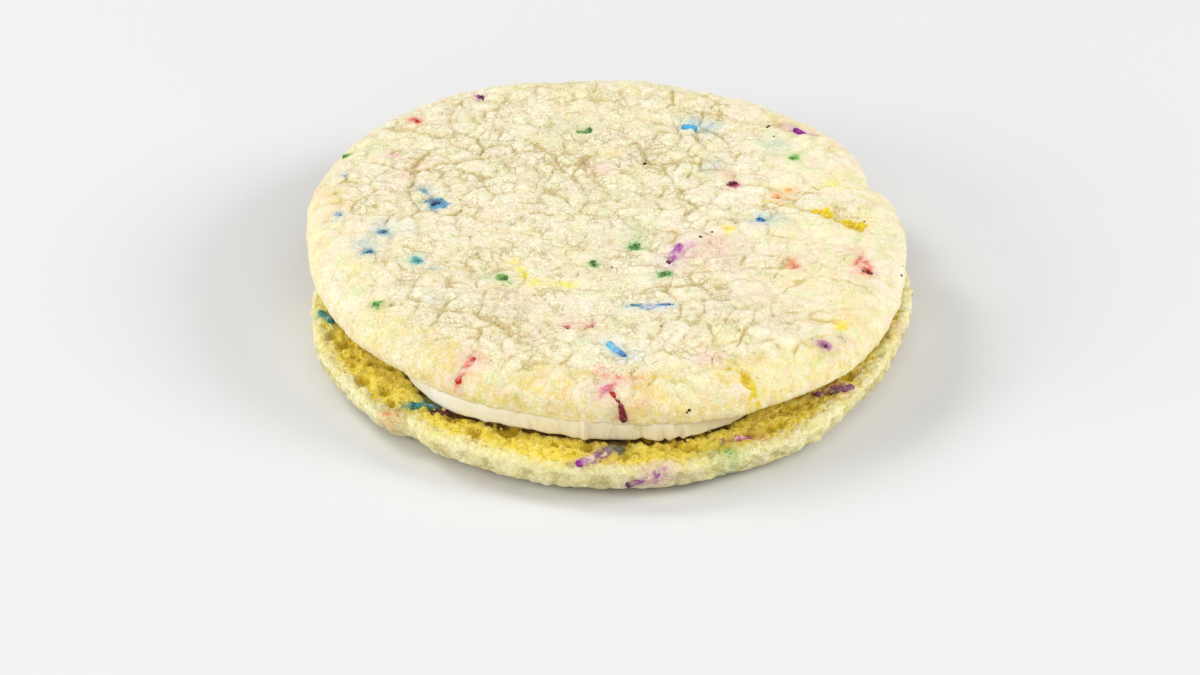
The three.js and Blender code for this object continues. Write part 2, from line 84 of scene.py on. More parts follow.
def slabs(x, y, size, seed):
    # the surface parted into slabs of about this size: how far each point is from the seam round
    # its slab, doubled, and a level from -1 to 1 for its slab and for the one beyond the seam
    i, j = np.floor(x / size).astype(np.int64), np.floor(y / size).astype(np.int64)
    nearest, second = np.full(x.shape, 1e9), np.full(x.shape, 1e9)
    level, beyond = np.zeros(x.shape), np.zeros(x.shape)
    for a in range(-2, 3):
        for b in range(-2, 3):
            p, q = i + a, j + b
            distance = np.hypot((p + lot(p, q, seed)) * size - x, (q + lot(p, q, seed + 1)) * size - y)
            own = 2 * lot(p, q, seed + 2) - 1
            closest, closer = distance < nearest, distance < second
            beyond = np.where(closest, level, np.where(closer, own, beyond))
            second = np.where(closest, nearest, np.where(closer, distance, second))
            level = np.where(closest, own, level)
            nearest = np.where(closest, distance, nearest)
    return second - nearest, level, beyond


def puffed(gap, width):  # 0 in the seam, rising to 1 at this distance from it
    return 1 - (1 - np.minimum(1, gap / width)) ** 2


def lumps(x, y, size, seed):  # 1 on a round lump, 0 in the crease round it
    return puffed(slabs(x, y, size, seed)[0], 0.6 * size)


def paint(red, green, blue):  # a screen colour, 0 to 255, as Blender's linear one
    def linear(value):
        value /= 255
        return value / 12.92 if value <= 0.04045 else ((value + 0.055) / 1.055) ** 2.4
    return (linear(red), linear(green), linear(blue), 1)


def one(value):
    return float(np.asarray(value).ravel()[0])


def each(*values):  # single numbers as the arrays that the sums work on
    return [np.array([value], float) for value in values]


def readPoints(piece):
    points = np.empty(len(piece.data.vertices) * 3)
    piece.data.vertices.foreach_get("co", points)
    return points.reshape(-1, 3)


def writePoints(piece, points):
    piece.data.vertices.foreach_set("co", np.ascontiguousarray(points, dtype=np.float32).ravel())
    piece.data.update()


def readNormals(piece):
    normals = np.empty(len(piece.data.vertices) * 3, dtype=np.float32)
    piece.data.vertex_normals.foreach_get("vector", normals)
    return normals.reshape(-1, 3)


def addTone(piece, name, columns):  # a colour for every point of a piece, read by its material
    tone = piece.data.attributes.new(name, "FLOAT_COLOR", "POINT")
    tone.data.foreach_set("color", np.ascontiguousarray(columns, dtype=np.float32).ravel())


def pickNothing():
    bpy.ops.object.select_all(action="DESELECT")


def pickOnly(piece):
    pickNothing()
    piece.select_set(True)
    bpy.context.view_layer.objects.active = piece


# outlines of the two cookies

upperCookie = {
    "x": -0.5, "y": 3.5, "radius": 53.1,
    "waves": [(2, -1.5, -1.9), (3, -0.2, 0.3), (4, -0.5, 0.2), (9, 0.16, 0.1), (14, -0.1, 0.12)],
    "dent": {"opens": 14, "full": 21, "gone": 33, "depth": 2},
    "baseZ": 10.3, "thickness": 6.8, "shoulder": 7, "belt": 1.5, "baseRounding": 0.9,
    "gridSteps": 256, "faceShare": 0.8,  # how much of the fine grid lies on the face
    "roundingRings": 4,
    "baseInsets": [1.3, 1.8, 2.4, 3.1, 3.9, 4.8, 5.8, 6.9, 8.1, 9.4, 10.8, 12.4, 14.5, 18, 25, 38],
    "crumbSize": 1.1, "crumbDepth": 0.3, "crumbOnFace": 0.32, "rimGold": 0.74,
    "flakeSize": 4.4, "flakeRise": 0.34, "flakyTo": 10,  # the rim's flaky skin
    "flakyFront": -44, "flakyUntil": -18, "flakyBack": 0.45, "flakePatch": 3.3, "flakeLevel": 0.7,
    "goldFrom": 0.7, "goldTo": 2.2,  # how far in from the rim its base turns golden
    "skinLeast": 0.25, "skinFrom": 3, "skinTo": 10,
}

lowerCookie = {
    "x": 1.5, "y": -5.9, "radius": 51.4,
    "waves": [(2, -0.6, 2.2), (3, -1.45, 0.6), (8, 0.22, -0.14), (13, 0.14, 0.16)],
    "dent": {"opens": 221, "full": 225, "gone": 234, "depth": 1.9},
    "baseZ": 7.0, "thickness": 7.0, "shoulder": 6.5, "belt": 1.6, "baseRounding": 2.2,
    "gridSteps": 204, "faceShare": 0.7,
    "roundingRings": 7,
    "baseInsets": [2.2 + 0.42 * step for step in range(1, 33)] + [18, 23, 31, 41],
    "crumbSize": 1.3, "crumbDepth": 0.55,
    "goldFrom": -0.4, "goldTo": 4.2,
    "goldStray": 0.7, "straySize": 2.1, "goldFray": 0.4, "fraySize": 0.9,  # it starts unevenly
    "skinLeast": 0.2, "skinFrom": 3, "skinTo": 10,
}


def turnFrom(start, degrees):
    return (degrees - start + 180) % 360 - 180


def edgeRadius(cookie, angle):
    dent = cookie["dent"]
    past = turnFrom(dent["full"], np.degrees(angle)) + dent["full"]
    opened = smooth(dent["opens"], dent["full"], past) * (1 - smooth(dent["full"], dent["gone"], past))
    radius = cookie["radius"] - dent["depth"] * opened
    for times, cosine, sine in cookie["waves"]:
        radius = radius + cosine * np.cos(times * angle) + sine * np.sin(times * angle)
    return radius


def placeOn(cookie, x, y):
    angle = np.arctan2(y - cookie["y"], x - cookie["x"])
    return angle, edgeRadius(cookie, angle) - np.hypot(x - cookie["x"], y - cookie["y"])


def around(middle, radius, angle):
    return middle["x"] + radius * np.cos(angle), middle["y"] + radius * np.sin(angle)


def inFromRim(cookie, angle, inset):
    return around(cookie, one(edgeRadius(cookie, *each(angle))) - inset, angle)


# blank: a fine grid drawn into a disc, with rings added round it that fold under the base

ringStep = 0.01


def addRings(count):  # the selected boundary, drawn outwards ring by ring
    for ring in range(1, count + 1):
        grow = (1 + ringStep * ring) / (1 + ringStep * (ring - 1))
        bpy.ops.mesh.extrude_edges_move()
        bpy.ops.transform.resize(value=(grow, grow, 1), center_override=(0, 0, 0))
    bpy.ops.object.mode_set(mode="OBJECT")


def cookieBlank(name, cookie):
    pickNothing()
    steps = cookie["gridSteps"]
    bpy.ops.mesh.primitive_grid_add(x_subdivisions=steps, y_subdivisions=steps, size=2)
    blank = bpy.context.active_object
    blank.name = blank.data.name = name
    points = readPoints(blank)
    across, along = points[:, 0], points[:, 1]
    wide = np.abs(across) > np.abs(along)
    reach = np.where(wide, across, along)
    other = np.where(wide, along, across) / np.where(reach == 0, 1, reach) * math.pi / 4
    turn = np.where(wide, other, math.pi / 2 - other)
    writePoints(blank, np.column_stack([reach * np.cos(turn), reach * np.sin(turn), 0 * reach]))

    bpy.ops.object.mode_set(mode="EDIT")
    bpy.ops.mesh.select_mode(type="EDGE")
    bpy.ops.mesh.select_all(action="DESELECT")
    bpy.ops.mesh.select_non_manifold(extend=False)
    addRings(cookie["roundingRings"] + len(cookie["baseInsets"]) + 1)
    return blank


def followProfile(cookie, points):
    # where each point of the blank comes to lie: bearing, distance in from the edge, and how far
    # it has risen from the belt towards the face or the base
    angle = np.arctan2(points[:, 1], points[:, 0])
    reach = np.hypot(points[:, 0], points[:, 1])
    edge = edgeRadius(cookie, angle)
    share, rounding = cookie["faceShare"], cookie["roundingRings"]

    faceInset = edge - reach / share * (edge - cookie["shoulder"])
    lean = np.clip((1 - reach) / (1 - share), 0, 1) * math.pi / 2
    shoulderInset = cookie["shoulder"] * (1 - np.cos(lean))
    inset = np.where(reach < share, faceInset, shoulderInset)
    rise = np.sin(lean)

    ring = np.maximum(0, np.round((reach - 1) / ringStep)).astype(int)
    onBase = ring > 0
    underLean = np.clip(ring / rounding, 0, 1) * math.pi / 2
    insets = np.array([0.0] * (rounding + 1) + list(cookie["baseInsets"]) + [0.0])
    baseInset = np.where(ring <= rounding, cookie["baseRounding"] * (1 - np.cos(underLean)),
                         insets[np.minimum(ring, len(insets) - 1)])
    last = ring == len(insets) - 1
    inset = np.where(onBase, np.where(last, edge, baseInset), inset)
    rise = np.where(onBase, np.sin(underLean), rise)
    return *around(cookie, edge - inset, angle), inset, rise, onBase


def closeUp(piece):
    pickOnly(piece)
    bpy.ops.object.mode_set(mode="EDIT")
    bpy.ops.mesh.select_all(action="SELECT")
    bpy.ops.mesh.remove_doubles(threshold=1e-6)
    bpy.ops.mesh.normals_make_consistent(inside=False)
    bpy.ops.object.mode_set(mode="OBJECT")
    bpy.ops.object.shade_smooth()


def crumble(piece, size, depth, seed, mask):  # crumb and pores, moved along the normals
    points = readPoints(piece) / mm
    normals = readNormals(piece)
    rough = 0.6 * grain(points, size, seed) + 0.4 * grain(points, size * 0.55, seed + 1)
    writePoints(piece, (points + normals * (depth * rough * mask)[:, None]) * mm)


def flakes(points, rule):  # about -1 to 1, crossing 0 at the edge of a flake of skin
    return grain(points, rule["flakeSize"], 393) + 0.5 * grain(points, 0.45 * rule["flakeSize"], 394)


def flakedShare(cookie, x, y, inset):  # how flaky the rim is at each point
    front = 1 - smooth(cookie["flakyFront"], cookie["flakyUntil"], y)
    front = cookie["flakyBack"] + (1 - cookie["flakyBack"]) * front
    return front * (1 - smooth(cookie["flakyTo"] - 4, cookie["flakyTo"], inset))


# upper cookie: the crinkled face

crinkle = {
    # pillows of three sizes: size, how high, how far from the crease they are still rounded, how
    # strongly the crease is coloured, and the size of the patches they come in (0: everywhere)
    "pillows": [(5.6, 0.62, 2.8, 0.86, 0), (3.5, 0.44, 2.0, 0.6, 8), (2.1, 0.3, 1.2, 0.46, 6)],
    "levels": 0.16,  # pillows of the largest size lie higher or lower by this much
    "crumpleSize": 2.4, "crumpleDepth": 0.17,
    "wander": 1.1,  # how far the creases stray
    "slabSize": 12, "slabRise": 0.2, "slabFront": 0.5, "slabSeam": 0.9,  # slabs at different levels
    "frontFrom": -42, "frontTo": -28,
    "puffSize": 6.5, "puffDepth": 0.55,  # wider puffs on the rim
    "rimFrom": 1.0, "rimTo": 6.5,
    "creaseSize": 13, "creaseDepth": 0.34,  # the few long creases
    "poreSize": 1.5, "poreDepth": 0.22,  # in the flat base
    "calmFrom": -46, "calmTo": -30, "calmest": 0.5,  # the front lies calmer, and so does the right
    "rightFrom": 8, "rightTo": 34, "calmRight": 0.4,
    "lineWidth": 0.95, "lineAmount": 0.6, "hollowShade": 0.28,  # how creases are coloured: thin lines, and painted shade in the hollows between pillows
}

# width, depth, how golden (0 to 1), where along it it is widest, and its path
crackRows = [
    (2.2, 1.9, 0.62, 0.7, [(24.8, 12.8), (29.9, 9.8), (33.7, 8.5), (37.2, 6), (39.4, 4.2), (42.6, 0.4)]),
    (3.2, 0.9, 1, 0.5, [(34.6, 9.4), (36.2, 8.4), (38.2, 7)]),
    (4.6, 1.1, 1, 0.5, [(38.8, 6.4), (40.5, 4.8), (41.9, 3), (43.2, 1)]),
    (1, 0.9, 0.2, 0.5, [(21.5, 16.2), (24.2, 17.4), (27.5, 16.6), (29.8, 14.2)]),
    (1.6, 1.1, 1, 0.45, [(20.8, -43), (22.4, -44), (22.5, -45.2), (23.8, -45.8), (23.3, -47.2)]),
    (1.3, 1, 0.1, 0.5, [(-36.5, 18.5), (-29, 24), (-20, 27), (-8, 30)]),
    (1.1, 0.7, 0.1, 0.5, [(-20.9, 37), (-22.9, 33), (-21.8, 29.8), (-22.7, 26.9)]),
    (1, 0.7, 0.1, 0.5, [(-29.2, 6.9), (-26.2, 8.3), (-21.4, 10.4)]),
    (0.9, 0.5, 0.1, 0.5, [(-32, -2), (-20, 1.5), (-9, -1.5)]),
    (1, 0.5, 0.1, 0.5, [(-9.5, -28), (-6, -30), (-2, -28.2)]),
    (0.9, 0.5, 0.1, 0.5, [(2, 27), (12, 24.5), (22, 27)]),
    (1.3, 0.7, 0.1, 0.5, [(-0.6, -46.4), (0.6, -48.6), (2.2, -50.4)]),
    (0.9, 0.6, 0.3, 0.5, [(30.8, -40.6), (31.2, -36.2), (34.8, -32.4), (41.2, -30.6)]),
    (0.9, 0.6, 0.8, 0.5, [(20.4, -43.4), (18.6, -42.2)]),
    (0.8, 0.5, 0.7, 0.5, [(23.6, -46.2), (25.4, -46.6)]),
    (1.1, 0.5, 0.45, 0.5, [(3.4, -47.5), (6.5, -46.2), (8, -43)]),
    (1, 0.45, 0.3, 0.5, [(4.5, -43.8), (10.5, -45.8), (14.5, -48.6), (16, -51.2)]),
    (0.9, 0.5, 0.3, 0.5, [(16, -39.2), (20.5, -40.8), (21.8, -42.4)]),
]
cracks = [dict(zip(("width", "depth", "gold", "widest", "path"), row)) for row in crackRows]
lip = {  # the edge of the long crack in front
    "rise": 0.5, "fade": 4, "endFrom": 0.4, "endTo": 0.75, "overhang": 0.35, "near": 1.7, "cut": 1.4,
}


def smoothPath(corners, count=72):  # a curve through the corners
    corners = np.array(corners, float)
    ends = np.vstack([2 * corners[0] - corners[1], corners, 2 * corners[-1] - corners[-2]])
    place = np.linspace(0, len(corners) - 1 - 1e-9, count)
    k = place.astype(int)
    t = (place - k)[:, None]
    a, b, c, d = ends[k], ends[k + 1], ends[k + 2], ends[k + 3]
    return 0.5 * (2 * b + (c - a) * t + (2 * a - 5 * b + 4 * c - d) * t ** 2
                  + (3 * b - a - 3 * c + d) * t ** 3)


def crackAt(crack, x, y):  # how deep the crack is at each point, and how far the point is from it
    path = smoothPath(crack["path"])
    cut, away = np.zeros(x.shape), np.full(x.shape, 99.0)
    reach = crack["width"] + 2
    close = (x > path[:, 0].min() - reach) & (x < path[:, 0].max() + reach)
    close &= (y > path[:, 1].min() - reach) & (y < path[:, 1].max() + reach)
    if close.any():
        gaps = np.hypot(x[close, None] - path[None, :, 0], y[close, None] - path[None, :, 1])
        nearest = gaps.argmin(1)
        gap = gaps.min(1)
        share = nearest / (len(path) - 1)
        widest = crack["widest"]
        share = np.where(share < widest, 0.5 * share / widest,
                         0.5 + 0.5 * (share - widest) / (1 - widest))
        opened = np.maximum(0.05, np.sin(share * math.pi)) ** 0.8
        torn = 1 + 0.4 * hills(x[close], y[close], 1.5, 235) + 0.12 * hills(x[close], y[close], 0.9, 236)
        half = np.maximum(0.25, crack["width"] / 2 * opened * torn)
        cut[close] = crack["depth"] * opened * (1 - smooth(0.25 * half, 1.2 * half, gap))
        away[close] = gap / half
    return cut, away


def beside(crack, x, y):  # which side of the long crack a point is on, and its share along it
    (x0, y0), (x1, y1) = crack["path"][0], crack["path"][-1]
    mx, my = crack["path"][3]
    length = math.hypot(x1 - x0, y1 - y0)
    ax, ay = (x1 - x0) / length, (y1 - y0) / length
    share = ((x - mx) * ax + (y - my) * ay) / length
    return ax * (y - my) - ay * (x - mx), share


def toRight(x):
    return smooth(crinkle["rightFrom"], crinkle["rightTo"], x)


def upperFace(x, y, inset):
    c = crinkle
    middle = smooth(c["rimFrom"], c["rimTo"], inset)
    wx = x + c["wander"] * (hills(x, y, 5, 201) + 0.5 * hills(x, y, 2.2, 203))
    wy = y + c["wander"] * (hills(x, y, 5, 202) + 0.5 * hills(x, y, 2.2, 204))
    calm = c["calmest"] + (1 - c["calmest"]) * smooth(c["calmFrom"], c["calmTo"], y)
    lively = middle * calm * (0.85 + 0.3 * hills(x, y, 21, 205)) * (1 - c["calmRight"] * toRight(x))
    kept = 0.3 + 0.7 * smooth(-0.4, 0.5, hills(x, y, 4.5, 238))  # creases come and go

    height, crease = np.full(x.shape, upperCookie["thickness"]), np.zeros(x.shape)
    for k, (size, depth, rounding, tint, patch) in enumerate(c["pillows"]):
        gap, level, unused = slabs(wx, wy, size, 11 + 40 * k)
        here = smooth(-0.45, 0.3, hills(x, y, patch, 207 + 40 * k)) if patch else 1
        dome = puffed(gap, rounding)
        height = height + lively * here * depth * (dome - 0.65)
        if not patch:
            height = height + lively * c["levels"] * level
        line = 1 - smooth(0, c["lineWidth"], gap)
        # the lines are crease colour; the hollows between pillows get painted shade
        drawn = c["lineAmount"] * line * kept + c["hollowShade"] * (1 - dome) ** 1.5
        crease = crease + lively * here * tint * drawn
    crumple = 0.65 * hills(wx, wy, c["crumpleSize"], 221) + 0.5 * hills(wx, wy, c["crumpleSize"] / 2.1, 222)
    onTop = smooth(0.3, 3.5, inset)  # the fine relief fades on the steep shoulder
    height = height + c["crumpleDepth"] * onTop * (0.35 + 0.65 * lively) * crumple
    # darker where the crumple dips: painted shade
    crease = crease - 0.22 * lively * crumple

    puff = lumps(wx, wy, c["puffSize"], 23)
    slabGap, level, beyond = slabs(wx + 1.2 * hills(x, y, 4, 208), wy + 1.2 * hills(x, y, 4, 209),
                                   c["slabSize"], 215)
    share = 0.5 + 0.5 * smooth(0, c["slabSeam"], slabGap)
    stray = 0.35 * hills(wx, wy, c["creaseSize"] / 2.6, 232)
    line = np.abs(hills(wx, 1.4 * wy, c["creaseSize"], 231) + stray)
    long = (1 - smooth(0, 0.09, line)) * smooth(0.0, 0.5, hills(x, y, 15, 233) + 0.35)
    height = height + (1 - middle) * c["puffDepth"] * (puff - 0.5)
    front = 1 - smooth(c["frontFrom"], c["frontTo"], y)
    rise = c["slabRise"] + (c["slabFront"] - c["slabRise"]) * front
    height = height + rise * smooth(0.5, 3, inset) * (level * share + beyond * (1 - share))
    height = height - c["creaseDepth"] * long * (0.25 + 0.75 * middle)
    height = height + 0.28 * hills(x, y, 19, 31) + 0.16 * hills(x, y, 8, 37)
    seams = 1 - smooth(0, c["lineWidth"], slabGap)
    crease = crease + 0.3 * seams * smooth(1, 5, inset) + 0.5 * long * (0.3 + 0.7 * middle)
    # painted shade in the hollows between the rim's puffs
    crease = crease + 0.25 * (1 - middle) * (1 - puff) ** 2

    side, along = beside(cracks[0], x, y)
    ends = 1 - smooth(lip["endFrom"], lip["endTo"], np.abs(along))
    height = height - np.sign(side) * lip["rise"] * np.exp(-np.abs(side) / lip["fade"]) * ends
    gold = np.zeros(x.shape)
    for crack in cracks:
        cut, away = crackAt(crack, x, y)
        height = height - cut
        opened = (1 - smooth(0.85, 1.55, away)) * np.clip(4 * cut / crack["depth"] + 0.4, 0, 1)
        gold = np.maximum(gold, crack["gold"] * opened)
        dull = 0.6 * (1 - crack["gold"]) * np.clip(cut / 0.7, 0, 1)
        crease = np.where(cut > 0.02, crease * (1 - crack["gold"] * opened) + dull, crease)
    return height, np.clip(crease, 0, 1), gold


# lower cookie: its base faces up, its crinkled face lies on the floor

lowerShape = {
    "sagAngle": 225, "sagDepth": 0.9, "sagFade": 20, "sagFrom": 3, "sagReach": 12,
    "roughSize": 2.3, "roughDepth": 0.2, "roughFrom": 6, "roughTo": 10,
    "crumbSize": 1.5, "crumbDepth": 0.45,
    "clear": 0.7, "lumpSize": 6.4, "lumpDepth": 0.4, "swellSize": 14, "swellDepth": 0.12,
    "restSpot": 12.5, "restSpotFade": 6,  # the flat middle, and the lumps that touch the floor
    "restLumps": 8, "restRing": 38.5, "restFlat": 1.8, "restFade": 4,
    "pits": 110, "pitFrom": 0.45, "pitTo": 1.6, "pitFlatness": 0.6,
    "pitsIn": 1.6, "pitsReach": 9.5,  # how far in from the rim they start, and over what width
    "pitsSeen": [  # x, y, size
        (-22.6, -46.5, 1.5), (-16.9, -46.3, 1.6), (-23.9, -49.5, 1), (-17.2, -50.2, 0.9),
        (-26.5, -42.3, 1.2), (-41.8, -29.4, 1.5), (-40.2, -24.3, 1.1), (-47.1, -15.4, 1.4),
        (-44.7, -18.1, 1.5), (-29, -38.3, 1.7), (29, -40.4, 1.2), (13, -51.6, 1.1), (8.6, -51.9, 0.9),
        (-43.2, -21.5, 0.9),
    ],
}


def pitPlaces():  # those seen in the photo, and more by rule over the band that shows
    s = lowerShape
    spread = []
    for k in range(s["pits"]):
        angle = (k + 0.8 * lot(k, 1, 301)) / s["pits"] * 2 * math.pi
        x, y = inFromRim(lowerCookie, angle, s["pitsIn"] + s["pitsReach"] * lot(k, 2, 301) ** 0.8)
        size = s["pitFrom"] + (s["pitTo"] - s["pitFrom"]) * lot(k, 3, 301) ** 1.6
        spread.append((x, y, size))
    return s["pitsSeen"] + spread


def lowerBase(x, y, inset):
    # the flat base: rough and pitted near the rim, sagging left of the break
    s = lowerShape
    angle, unused = placeOn(lowerCookie, x, y)
    past = turnFrom(s["sagAngle"], np.degrees(angle))
    left = np.where(past < 0, np.exp(np.minimum(past, 0) / s["sagFade"]), 0)
    sag = s["sagDepth"] * left * (1 - smooth(s["sagFrom"], s["sagReach"], inset))
    band = 1 - smooth(s["roughFrom"], s["roughTo"], inset)
    rough = s["roughDepth"] * (1 + hills(x, y, s["roughSize"], 53)) * band
    crumb = s["crumbDepth"] * (1 - lumps(x, y, s["crumbSize"], 311)) * (0.35 + 0.65 * band)
    pitted = np.zeros(x.shape)
    hollow = np.zeros(x.shape)
    for px, py, size in pitPlaces():
        reach = np.hypot(x - px, y - py) / size
        reach = reach * (1 + 0.18 * hills(x, y, 1.3, 313))
        bowl = np.sqrt(np.maximum(0, 1 - np.minimum(reach, 1) ** 2))
        hollow = np.maximum(hollow, s["pitFlatness"] * size * bowl)
        pitted = np.maximum(pitted, 1 - smooth(0.6, 1.1, reach))
    return sag + rough + crumb + hollow, pitted, crumb / s["crumbDepth"]


def lowerFace(x, y):
    # the crinkled face underneath: a flat spot and a ring of lumps touch the floor
    s = lowerShape
    middleX, middleY, ring = lowerCookie["x"], lowerCookie["y"], s["restRing"]
    fromMiddle = np.hypot(x - middleX, y - middleY)
    free = smooth(s["restSpot"], s["restSpot"] + s["restSpotFade"], fromMiddle)
    for k in range(s["restLumps"]):
        turn = k / s["restLumps"] * 2 * math.pi
        gap = np.hypot(x - middleX - ring * math.cos(turn), y - middleY - ring * math.sin(turn))
        free = np.minimum(free, smooth(s["restFlat"], s["restFade"], gap))
    wx, wy = x + 0.9 * hills(x, y, 5, 321), y + 0.9 * hills(x, y, 5, 322)
    big, mid, fine = lumps(wx, wy, s["lumpSize"], 41), lumps(wx, wy, 3.4, 323), lumps(wx, wy, 1.7, 325)
    swell = s["swellDepth"] * hills(x, y, s["swellSize"], 43)
    clear = s["clear"] + swell - s["lumpDepth"] * big - 0.25 * (mid - 0.6) - 0.12 * (fine - 0.6)
    # darker in the hollows between lumps: crease colour with painted shade
    crease = 0.6 * (1 - big) ** 2 + 0.6 * (1 - mid) ** 2 + 0.3 * (1 - fine) ** 2
    height = lowerCookie["thickness"] - free * np.maximum(clear, 0.05)
    return height, np.clip(crease * (0.3 + 0.7 * free), 0, 1)


# outline of the buttercream, which meets the rim above in front and stands back elsewhere

cream = {
    "x": 0.5, "y": -1.2, "radius": 42.4, "wander": 1.1,
    "opens": 220, "openFade": 36, "closes": 300, "closeFade": 48, "flush": 0.4,
    "columns": 1200, "topZ": 10.34, "footZ": 6.98, "lap": 0.75,  # it laps up over the rim above
    "dragFine": 0.07, "dragWide": 0.17, "lapSize": 2.2, "lapWander": 0.3,
    "rippleSize": 3.1, "rippleFine": 1.2, "dripSharp": 2.2, "dripBulge": 0.35, "strandLean": 0.5,
    "hem": 7.32, "hemWander": 0.26,  # the lower edge in front hangs clear of the lower cookie
    "hemGap": 0.12, "arcRadius": 48,  # the ripples are measured along this circle
    "drips": [  # x, width, length
        (-4.6, 0.55, 0.75), (-6.2, 0.5, 0.35), (8.4, 0.7, 0.45), (9.9, 0.5, 0.6), (12.2, 0.5, 0.55),
        (-21, 1.2, 0.3), (20, 0.8, 0.35),
    ],
    "strands": [  # x, width, how far out
        (-4.3, 0.42, 0.5), (10.4, 0.5, 0.25), (12.6, 0.4, 0.3), (5.2, 0.6, -0.45), (7.4, 0.5, 0.2),
        (-14, 0.6, 0.2),
    ],
    # rings over the side, from the top down: height share, and how far out
    "side": [
        (1.0, -0.9), (0.985, -0.1), (0.95, 0.02), (0.9, 0.06), (0.83, 0.1), (0.75, 0.12), (0.66, 0.12),
        (0.57, 0.1), (0.48, 0.08), (0.39, 0.06), (0.3, 0.04), (0.21, 0.02), (0.12, -0.02),
        (0.04, -0.12), (0.0, -0.4),
    ],
    "topRings": [0, 0.5, 0.85],  # rings hidden on top and underneath, as shares of the reach
    "underRings": [0.6, 0],
    "drawnIn": [(0.0, -1.3), (-0.35, -2.1), (-0.8, -2.7), (-1.0, -3.6)],  # below the hem: drop, out
}


def reachOfUpper(angle):  # from the cream's middle to the rim of the upper cookie's base
    radius = np.full(angle.shape, float(upperCookie["radius"]))
    for again in range(4):
        radius = radius + placeOn(upperCookie, *around(cream, radius, angle))[1]
    return radius - upperCookie["baseRounding"]


def creamEdge(angle):
    degrees, opening, closing = np.degrees(angle), cream["openFade"] / 2, cream["closeFade"] / 2
    waver = 0.6 * np.sin(3 * angle + 1) + 0.5 * np.sin(5 * angle) + 0.35 * np.cos(9 * angle)
    pressed = smooth(-opening, opening, turnFrom(cream["opens"], degrees))
    pressed = pressed * (1 - smooth(-closing, closing, turnFrom(cream["closes"], degrees)))
    hidden = cream["radius"] + cream["wander"] * waver
    return hidden + (reachOfUpper(angle) + cream["flush"] - hidden) * pressed, pressed


# sprinkles: rods of sugar, baked into both cookies

rod = {
    "length": 6.3, "radius": 0.75, "blunt": 0.42, "sides": 12, "slices": 9, "dough": (240, 222, 190),
    "dentSize": 1.4, "dentDepth": 0.2, "gritSize": 0.6, "gritDepth": 0.16, "bend": 0.25,
    "speckleSize": 0.5, "fleckSize": 0.8,
    # how far a lying rod bends to the surface, and how much prouder the lower cookie's lie
    "drapeOnUpper": 0.85, "drapeOnLower": 0.25, "liftOnLower": 0.3,
}
dyes = {
    "red": (206, 34, 22), "pink": (228, 92, 116), "orange": (242, 132, 40), "yellow": (250, 214, 20),
    "green": (30, 104, 8), "leaf": (88, 156, 36), "blue": (14, 96, 168), "sky": (58, 168, 222),
    "teal": (6, 108, 104), "violet": (112, 146, 214), "purple": (152, 30, 150), "plum": (92, 14, 66),
    "navy": (6, 68, 112), "crimson": (122, 6, 34), "slate": (84, 124, 152), "umber": (74, 46, 14),
}
fading = {"umber": 0.75}  # dyes that wash out less than others


def plain(dye):
    return np.array(paint(*dyes[dye]))[:3]


def pastel(dye):  # the same hue, washed out
    return plain(dye) ** fading.get(dye, 0.36)


soaking = {
    "bleed": 0.55, "bleedSize": 1.7, "fray": 0.3, "fraySize": 0.8,  # how the edges of a stain wander
    "blotch": 0.28, "blotchSize": 1.1, "mottle": 0.2, "mottleSize": 0.55, "even": 0.72,
    "downwards": 0.8, "deepFrom": 0.4, "deepTo": 0.85, "onBase": 0.35,
}

# x, y, heading, tip down, how proud, spread seen from above, dye, worn pale (0 to 1), halo size and
# strength, halo shift; three dyes or wears stand for the start, the middle and the end
lyingOnUpper = [
    (-31.2, 12.8, -66, -2, 0.5, 6.3, "navy", (1.0, 0.9, 0.0), 1.6, 0.5, 0.3, 0.5),
    (10.8, -6.1, -114, 4, 0.55, 5.4, ("purple", "purple", "plum"), (0.2, 0.9, 0), 1.9, 0.55, 0.5, 0),
    (6.6, -22.9, 0, 0, 0.45, 6.5, ("teal", "violet", "blue"), (0.0, 0.9, 0.3), 1.7, 0.5, 0, 0.2),
    (1.2, -37.4, -57, 3, 0.6, 5.2, ("sky", "sky", "blue"), 0.4, 1.9, 0.5, 0, 0),
    (-24.0, -40.3, -130, 0, 0.42, 4.8, "red", (0.0, 1.2, 0.0), 2.1, 0.62, -0.3, 0),
    (1.2, -49.4, -52, 0, 0.35, 4.4, ("red", "crimson", "crimson"), 0.0, 1.7, 0.6, -0.3, 0.3),
    (13.7, 36.0, -12, 5, 0.55, 2.8, "sky", 0.1, 2.4, 0.5, 2.0, 1.0),
    (34.2, 34.4, -40, 15, 0.05, 6.3, "purple", 0.0, 1.2, 0.5, -1.6, 1.6),
    (-6.2, 35.9, -187, 15, -0.15, 6.3, ("green", "leaf", "leaf"), 0.5, 1.8, 0.5, -0.6, 0.3),
    (43.0, -9.3, -74, -10, 0.0, 6.3, ("red", "red", "crimson"), (0.9, 0.7, 0), 1.7, 0.85, -0.2, 0.8),
    (-43, 29, 10, 10, 0.0, 6.3, "leaf", 0.5, 1.3, 0.3, 0, 0),
    (-9.6, -15.4, -4, 0, 0.05, 6.6, "yellow", (0.1, 0.6, 1.0), 1.5, 0.75, 0, 0),
]
